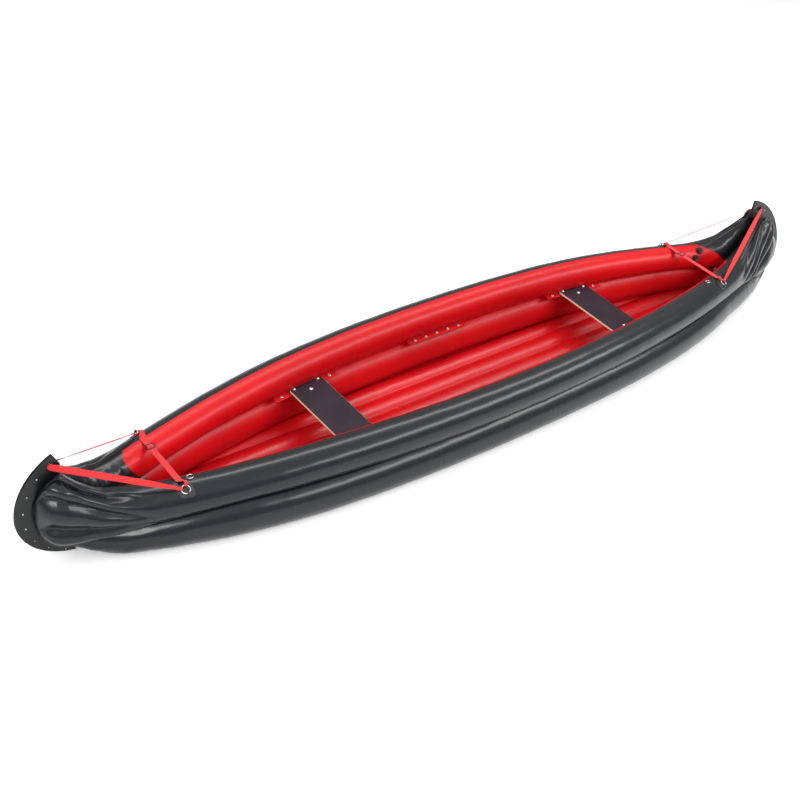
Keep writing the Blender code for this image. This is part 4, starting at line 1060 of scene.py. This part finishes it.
def strap(name, stations, node):
    """Webbing through stations (centre, across, width), with its corners rounded by a running mean."""
    centre, across, width = (np.array(column) for column in zip(*stations))
    knots = run_along(centre)
    run = np.linspace(0, knots[-1], int(knots[-1] / STRAP_STEP))
    path, sideways = (
        np.stack([np.interp(run, knots, column) for column in values.T], -1) for values in (centre, across)
    )
    for _ in range(2):
        path[2:-2] = np.stack([np.convolve(column, np.ones(5) / 5, "valid") for column in path.T], -1)
    narrow = np.interp(run, knots, width)[:, None] / STRAP_WIDTH
    flat = band(STRAP_WIDTH, STRAP_THICKNESS)
    profile = np.stack([flat[:, 0] * narrow, np.broadcast_to(flat[:, 1], (len(run), len(flat)))], -1)
    dress(carried(name, path, sideways, profile), WEBBING, "red_webbing", node)


def diagonal_strap(word, end):
    """From the port ring through the stem plate's slot to the starboard ring."""
    slot, pull, along = slot_pull(end)
    halves = []
    for side in (1, -1):
        centre, _, _, out = ring_frame(side, end)
        mouth = slot + np.array([0, side * (CHEEK_FACE + STRAP_MOUTH), 0]) + pull * (STRAP_MOUTH - 0.0005)
        stations = strap_loop(centre, mouth - centre, out)
        start, across = stations[-1][:2]
        for t in (0.10, 0.25, 0.45, 0.65, 0.80, 0.90, 0.97):
            width = STRAP_END_WIDTH + (STRAP_WIDTH - STRAP_END_WIDTH) * min(1.0, t * 5)
            stations.append((start + (mouth - start) * t, turned_across(across, along, t**8), width))
        stations.append((mouth, along, STRAP_WIDTH))
        stations.append((slot + np.array([0, side * (CHEEK_FACE - 0.001), 0]), along, STRAP_WIDTH))
        halves.append(stations)
    stations = aligned(halves[0] + [(slot, along, STRAP_WIDTH)] + halves[1][::-1])
    strap(f"{word}_diagonal_webbing", stations, f"{word}_diagonal_strap")


def cross_strap(word, end):
    """From gunwale ring to gunwale ring, over a ladder buckle's middle bar."""
    halves, ahead = [], np.array([1.0, 0, 0])
    for side in (1, -1):
        centre, run, inboard, out = ring_frame(side, end)
        y, z, _, _, up, _, _ = upper_at(centre[0])
        level = z + up + STRAP_THICKNESS / 2 + STRAP_CLEARANCE
        stations = strap_loop(centre, inboard - run * 0.18, out)
        start, across = stations[-1][:2]
        top = np.array([centre[0], side * (y - 0.004), level])
        stations.append((start + (top - start) * 0.55, turned_across(across, ahead, 0.5), STRAP_WIDTH))
        stations.append((top, ahead, STRAP_WIDTH))
        halves.append(stations)
    x = end * STEMS[end].ring
    lift = BUCKLE_THICKNESS + 2 * GAP + STRAP_THICKNESS
    inner, outer = BUCKLE_MIDDLE_BAR / 2 + 0.002, BUCKLE_LENGTH / 2 - BUCKLE_BAR - 0.002
    weave = ((outer, 0), (inner, lift), (-inner, lift), (-outer, 0))
    middle = [(np.array([x, BUCKLE_OFFSET + dy, level + dz]), ahead, STRAP_WIDTH) for dy, dz in weave]
    strap(f"{word}_cross_webbing", aligned(halves[0] + middle + halves[1][::-1]), f"{word}_cross_strap")
    ladder_buckle(word, np.array([x, BUCKLE_OFFSET, level + lift / 2]))


def ladder_buckle(word, centre):
    """A flat superellipse frame, (wide |cos a|^k, long |sin a|^k) with their signs, and its bar."""
    wide, long = (BUCKLE_BREADTH - BUCKLE_BAR) / 2, (BUCKLE_LENGTH - BUCKLE_BAR) / 2
    turn = np.linspace(0, 2 * np.pi, 96, endpoint=False)
    x, y = (np.sign(wave) * np.abs(wave) ** BUCKLE_SQUARENESS for wave in (np.cos(turn), np.sin(turn)))
    path = centre + np.stack([wide * x, long * y, np.zeros_like(turn)], -1)
    ends = centre + np.linspace(-wide, wide, 12)[:, None] * np.array([1.0, 0, 0])
    bars = []
    for part, line, bar in (("frame", path, BUCKLE_BAR), ("bar", ends, BUCKLE_MIDDLE_BAR)):
        upright = np.broadcast_to([0, 0, 1.0], line.shape)
        section = oval(BUCKLE_THICKNESS / 2, bar / 2, 16)
        bars.append(carried(f"{word}_buckle_{part}", line, upright, section, looped=part == "frame"))
    dress(joined(bars[0].name, bars), VALVE_PLASTIC, "stem_plastic", f"{word}_buckle")


# Stem plates: a turned profile is rows of radius and height
PLATE_RIM_WIDTH = 0.0022
RIVET_DOME = (
    (0.0006, 0.0024), (0.0020, 0.0022), (0.0036, 0.0015), (0.0046, 0.0006), (0.0048, 0.0), (0.0030, -0.0004),
)


def rivets(word, end):
    """Domed rivet heads on both faces of the stem plate."""
    stem = STEMS[end]
    first, last = stem.top_angle - 5, stem.foot_angle + 9
    xs, zs = stem_run(stem, first, last, STEM_PLATE_WIDTH / 2, STEM_FOOT_WIDTH / 2, RIVET_COUNT)
    heads = []
    for x, z in zip(xs, zs):
        for side in (1, -1):
            spot = (end * x, side * CHEEK_FACE, z)
            heads.append(turned(f"{word}_rivet", RIVET_DOME, spot, (0, side, 0), 20))
    dress(joined(f"{word}_rivets", heads), ALUMINIUM, "steel")


def plate_rim(word, end):
    """Rounded trim along each cheek's outer edge, following the superellipse."""
    stem = STEMS[end]
    inset = PLATE_RIM_WIDTH - 0.0006
    x, z = stem_run(stem, stem.top_angle, stem.foot_angle, inset, inset, 160)
    strips = []
    for side in (1, -1):
        y = side * (STEM_SEAM + CHEEK_THICKNESS / 2)
        path = np.stack([end * x, np.full(x.shape, y), z], -1)
        flat = np.broadcast_to([0, 1.0, 0], path.shape)
        rim = oval(CHEEK_THICKNESS / 2 + 0.0004, PLATE_RIM_WIDTH, 14)
        strips.append(carried(f"{word}_rim", path, flat, rim))
    dress(joined(f"{word}_plate_rim", strips), STEM_PLASTIC, "stem_plastic")


# Seats
SEAT_EDGE = 0.0022
SEAT_EDGE_STEPS = 5
SEAT_BORDER = 0.009
EYELET_LIP = (
    (EYELET_RADIUS + 0.0002, -0.002), (EYELET_RADIUS - 0.0003, 0.0004), (EYELET_RADIUS, 0.0011),
    (EYELET_RADIUS + 0.0007, 0.0014), (EYELET_RIM - 0.0016, 0.0009), (EYELET_RIM - 0.0003, 0.0003),
    (EYELET_RIM, 0.0), (EYELET_RADIUS + 0.0004, -0.0003),
)

# A bolt's rows above the board and below what it clamps
BOLT_TOP = (
    (0.0008, 0.0040), (0.0030, 0.0037), (0.0052, 0.0027), (0.0065, 0.0014), (0.0068, 0.0009),
    (0.0088, 0.0009), (0.0090, 0.0005), (0.0090, 0.0001), (BOLT_RADIUS, 0.0),
)
BOLT_FOOT = (
    (BOLT_RADIUS, 0.0), (0.0085, -0.0001), (0.0085, -0.0010), (0.0056, -0.0010), (0.0058, -0.0050),
    (0.0050, -0.0056), (0.0030, -0.0057),
)


def inner_wall(x, z):
    """Inboard surface of the upper tube at x and height z."""
    y, centre, _, inner, up, down, _ = upper_at(x)
    high = up if z > centre else down
    return y - inner * math.sqrt(max(0.0, 1 - ((z - centre) / high) ** 2))


def rail_height(x):
    """Height of the middle of the rail's thickness at x."""
    return upper_at(x)[6] + RAIL_RISE


def eyelet_y(x):
    """Middle of the rail's breadth at x: the rail lies against the tube at its upper and lower face."""
    z = rail_height(x) - RAIL_THICKNESS / 2
    return min(inner_wall(x, z), inner_wall(x, z + RAIL_THICKNESS)) - GAP - RAIL_WIDTH / 2


def eyelet_xs(centre):
    """Places of a rail's eyelets along the hull."""
    return [centre + (k - (EYELET_COUNT - 1) / 2) * EYELET_PITCH for k in range(EYELET_COUNT)]


def eyelets(word, side_word, side, centre, spare):
    """Rolled metal eyelets in a rail's holes: a flat ring with a raised inner lip."""
    rings = []
    for k, x in enumerate(eyelet_xs(centre)):
        if spare or k in (0, EYELET_COUNT - 1):
            spot = (x, side * eyelet_y(x), rail_height(x) + RAIL_THICKNESS / 2 + EYELET_RISE)
            rings.append(turned("eyelet", EYELET_LIP, spot, (0, 0, 1), 28, looped=True))
    dress(joined(f"{word}_{side_word}_eyelets", rings), ALUMINIUM, "steel")


def rounded_outline(corners, radius, steps=9):
    """The polygon's outline with each corner turned by an arc."""
    corners = np.array(corners)
    parts = []
    for before, here, after in zip(np.roll(corners, 1, 0), corners, np.roll(corners, -1, 0)):
        back, ahead = unit(before - here), unit(after - here)
        half = math.acos(np.clip(back @ ahead, -1, 1)) / 2
        centre = here + unit(back + ahead) * radius / math.sin(half)
        first = here + back * radius / math.tan(half) - centre
        last = here + ahead * radius / math.tan(half) - centre
        turn = math.atan2(first[0] * last[1] - first[1] * last[0], first @ last)
        a = np.linspace(0, turn, steps)[:, None]
        parts.append(centre + np.cos(a) * first + np.sin(a) * np.array([-first[1], first[0]]))
    return np.concatenate(parts)


def seat(word, centre):
    """A board with eased edges on its rails, and its bolts."""
    under = rail_height(centre) + RAIL_THICKNESS / 2 + EYELET_RISE
    rest = max(rail_height(x) for x in eyelet_xs(centre)) + RAIL_THICKNESS / 2 + EYELET_RISE + GAP
    top = rest + BOARD_THICKNESS
    ends = []
    for x in (centre - BOARD_WIDTH / 2, centre + BOARD_WIDTH / 2):
        ends.append((x, min(inner_wall(x, z) for z in (rest, top)) - FLANGE_THICKNESS - 2 * GAP))
    corners = [ends[0], ends[1], (ends[1][0], -ends[1][1]), (ends[0][0], -ends[0][1])]
    outline = rounded_outline(corners, BOARD_CORNER)
    step = np.roll(outline, -1, 0) - np.roll(outline, 1, 0)
    inward = np.stack([-step[:, 1], step[:, 0]], -1) / np.linalg.norm(step, axis=1, keepdims=True)
    if np.sum(inward * (outline.mean(0) - outline)) < 0:
        inward = -inward
    turn = np.radians(np.linspace(0, 90, SEAT_EDGE_STEPS))
    ease_in, ease_down = SEAT_EDGE * (1 - np.cos(turn)), SEAT_EDGE * (1 - np.sin(turn))
    insets = np.concatenate([[SEAT_BORDER], ease_in[::-1], ease_in, [SEAT_BORDER]])
    heights = np.concatenate([[rest], rest + ease_down[::-1], top - ease_down, [top]])
    flat = outline + inward * insets[:, None, None]
    points = np.concatenate([flat, np.broadcast_to(heights[:, None, None], (*flat.shape[:2], 1))], -1)
    board = surface(f"{word}_seat_ply", points, smooth=40)
    dress(board, FILM, "plywood", f"{word}_seat_board")
    board.data.materials.append(PLY)
    for polygon in board.data.polygons[2 * len(outline): (2 * SEAT_EDGE_STEPS - 1) * len(outline)]:
        polygon.material_index = 1
    bolts = [(x, eyelet_y(x), True) for x in (centre - EYELET_PITCH, centre + EYELET_PITCH)]
    bolts.append((centre, (ends[0][1] + ends[1][1]) / 2 - INNER_BOLT_INSET, False))
    for side_word, side in SIDES:
        for k, (x, y, corner) in enumerate(bolts):
            foot = under - EYELET_RISE - RAIL_THICKNESS if corner else rest
            seat_bolt(f"{word}_{side_word}_bolt_{k + 1}", (x, side * y, 0), top, foot)


def seat_bolt(node, spot, top, foot):
    """Low domed head over a washer, its shank, and a washer and nut below."""
    rows = [(r, top + h) for r, h in BOLT_TOP] + [(r, foot + h) for r, h in BOLT_FOOT]
    dress(turned(f"{node}_steel", rows, spot, (0, 0, 1), 36), STEEL, "steel", node)


# Valves
NECK = ((0.0120, 0.0080), (0.0135, 0.0076), (0.0135, 0.0040))
FLANGE_RADIUS = 0.0210
CAP_FOOT = 0.0043
CAP_TOP = 0.0080
CAP_RADIUS = 0.0165
CAP_BORE = 0.0141
CAP_DISH = ((0.0030, CAP_FOOT + 0.0070), (0.0105, CAP_FOOT + 0.0070), (0.0118, CAP_FOOT + CAP_TOP))
CAP_INSIDE = ((CAP_BORE, CAP_FOOT), (CAP_BORE, 0.0083), (0.0040, 0.0083))
CAP_FLUTES = 24
GRIP_HALF_LENGTH = 0.0115


def valve(name, point, out, across, seat_height):
    """Round flange and neck, and a quarter-turn cap with a grip bar and a fluted rim."""
    axis, side = unit(out), unit(across)
    spot = np.asarray(point) + axis * seat_height
    body = [*NECK, *rounded_step(FLANGE_RADIUS, 0.0, NECK[-1][1], 0.0016)]
    dress(turned(f"{name}_flange", body, spot, out, 56), VALVE_PLASTIC, "valve_plastic", f"{name}_body")
    cap = [*CAP_DISH, *rounded_step(CAP_RADIUS, CAP_FOOT, CAP_FOOT + CAP_TOP, 0.0018), *CAP_INSIDE]
    lid = turned(f"{name}_lid", cap, spot, out, 4 * CAP_FLUTES, CAP_FLUTES, 0.012)
    along = np.linspace(-1, 1, 16)[:, None]
    ends = spot + axis * (CAP_FOOT + CAP_TOP + 0.0005) + along * GRIP_HALF_LENGTH * side
    fin = (1 - (0.98 * along[..., None]) ** 2) ** 0.25
    upright = np.broadcast_to(axis, ends.shape)
    bar = carried(f"{name}_bar", ends, upright, oval(0.0022, 0.0018, 16)[None] * fin)
    dress(joined(lid.name, [lid, bar]), VALVE_PLASTIC, "valve_plastic", f"{name}_cap", body=f"{name}_cap")


def valves():
    """The two side chambers' inflation valves, the relief valve and the floor's valve."""
    for name, side, station, lean, seat_height in VALVES:
        point, run, _, out = surface_frame(side, 1, station, lean)
        valve(name, point, out, run, seat_height)
    top = FLOOR_TOP + float(floor_lift(np.array(FLOOR_VALVE_STATION)))
    valve("floor_valve", (FLOOR_VALVE_STATION, 0, top), (0, 0, 1), (1, 0, 0), 0.0009)


# Studio
GROUND_REACH = 40.0
PAPER = 0.90
HORIZON = 0.42
SKY_RISE = (0.34, 0.86)
SKY_STRENGTH = 1.1
LAMPS = (
    ("overhead", (0.8, 1.2, 4.2), (0, 0, 0.2), (6.0, 1.0), 150),
    ("bow_side", (3.2, -5.0, 4.6), (0, 0, 0.2), (7.5, 1.4), 400),
    ("stern_side", (-4.6, -3.4, 4.0), (-0.6, 0, 0.2), (3.0, 1.4), 240),
)


def ground():
    """A wide sheet of white paper under the hull."""
    mesh = bpy.data.meshes.new("studio_floor")
    r = GROUND_REACH
    mesh.from_pydata([(-r, -r, 0), (r, -r, 0), (r, r, 0), (-r, r, 0)], [], [(0, 1, 2, 3)])
    made = added("studio_floor", mesh)
    paper = Finish("studio_paper", Base_Color=(PAPER, PAPER, PAPER, 1), Roughness=0.9, Specular_IOR_Level=0.1)
    mesh.materials.append(paper.material)


def sky():
    """White surroundings, greyer towards the horizon."""
    world = bpy.data.worlds.new("studio")
    world.use_nodes = True
    start = Shade(world.node_tree)
    height = start.make("SeparateXYZ", values={0: start.make("TexCoord", output="Generated")}, output="Z")
    glow = height.step(*SKY_RISE).blend((HORIZON, HORIZON, HORIZON), (1.0, 1.0, 1.0))
    background = world.node_tree.nodes["Background"]
    world.node_tree.links.new(glow.socket, background.inputs["Color"])
    background.inputs["Strength"].default_value = SKY_STRENGTH
    bpy.context.scene.world = world


def lamps():
    """A long lamp overhead and two on the camera's side."""
    for name, spot, aim, size, power in LAMPS:
        lamp = bpy.data.lights.new(name, "AREA")
        lamp.shape, lamp.size, lamp.size_y, lamp.energy = "RECTANGLE", *size, power
        back = unit(np.array(spot) - np.array(aim))
        right = unit(np.cross([0.35, 1, 0], back)) if abs(back[2]) > 0.9 else unit(np.cross([0, 0, 1], back))
        set_axes(added(name, lamp), right, np.cross(back, right), back, spot)


def set_axes(made, right, up, back, spot):
    """Place a lamp or camera at spot, looking against back."""
    matrix = np.eye(4)
    matrix[:3] = np.stack([right, up, back, spot], axis=1)
    made.matrix_world = Matrix(matrix.tolist())


def camera():
    """The photograph's view: from the stern quarter on the starboard side, rolled to the right."""
    azimuth, elevation, roll = np.radians([-46.523, 34.929, 10.517])
    distance, target = 5.703, np.array([-0.06, 0, 0.243])
    back = np.array([
        math.sin(azimuth) * math.cos(elevation), -math.cos(azimuth) * math.cos(elevation), math.sin(elevation)
    ])
    right = np.array([math.cos(azimuth), math.sin(azimuth), 0])
    up = np.cross(back, right)
    turned_right = right * math.cos(roll) + up * math.sin(roll)
    turned_up = -right * math.sin(roll) + up * math.cos(roll)
    lens = bpy.data.cameras.new("view")
    lens.sensor_width, lens.lens = 36, 54.13
    lens.shift_x, lens.shift_y = -0.0979, -0.0608
    lens.clip_end = 200
    made = added("view", lens)
    set_axes(made, turned_right, turned_up, back, target + back * distance)
    bpy.context.scene.camera = made


camera()
ground()
sky()
lamps()
bpy.context.scene.view_settings.view_transform = "Standard"
for side_word, side in SIDES:
    for upper in (True, False):
        side_tube(side_word, side, upper)
floor_chamber()
for word, end in ENDS:
    diagonal_strap(word, end)
    cross_strap(word, end)
    rivets(word, end)
    plate_rim(word, end)
    for side_word, side in SIDES:
        ring_set(word, side_word, side, end, False)
    ring_set(word, "starboard", -1, end, True)
for word, centre in (*SEAT_STATIONS.items(), ("middle", SPARE_RAIL_STATION)):
    for side_word, side in SIDES:
        eyelets(word, side_word, side, centre, word == "middle")
for word, centre in SEAT_STATIONS.items():
    seat(word, centre)
valves()

for name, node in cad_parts.items():
    if name.endswith("_rail"):
        finish = RAIL_FABRIC
    elif "cheek" in name or name.endswith("stem_core"):
        finish = STEM_PLASTIC
    else:
        continue
    for slot in node.material_slots:
        slot.material = finish
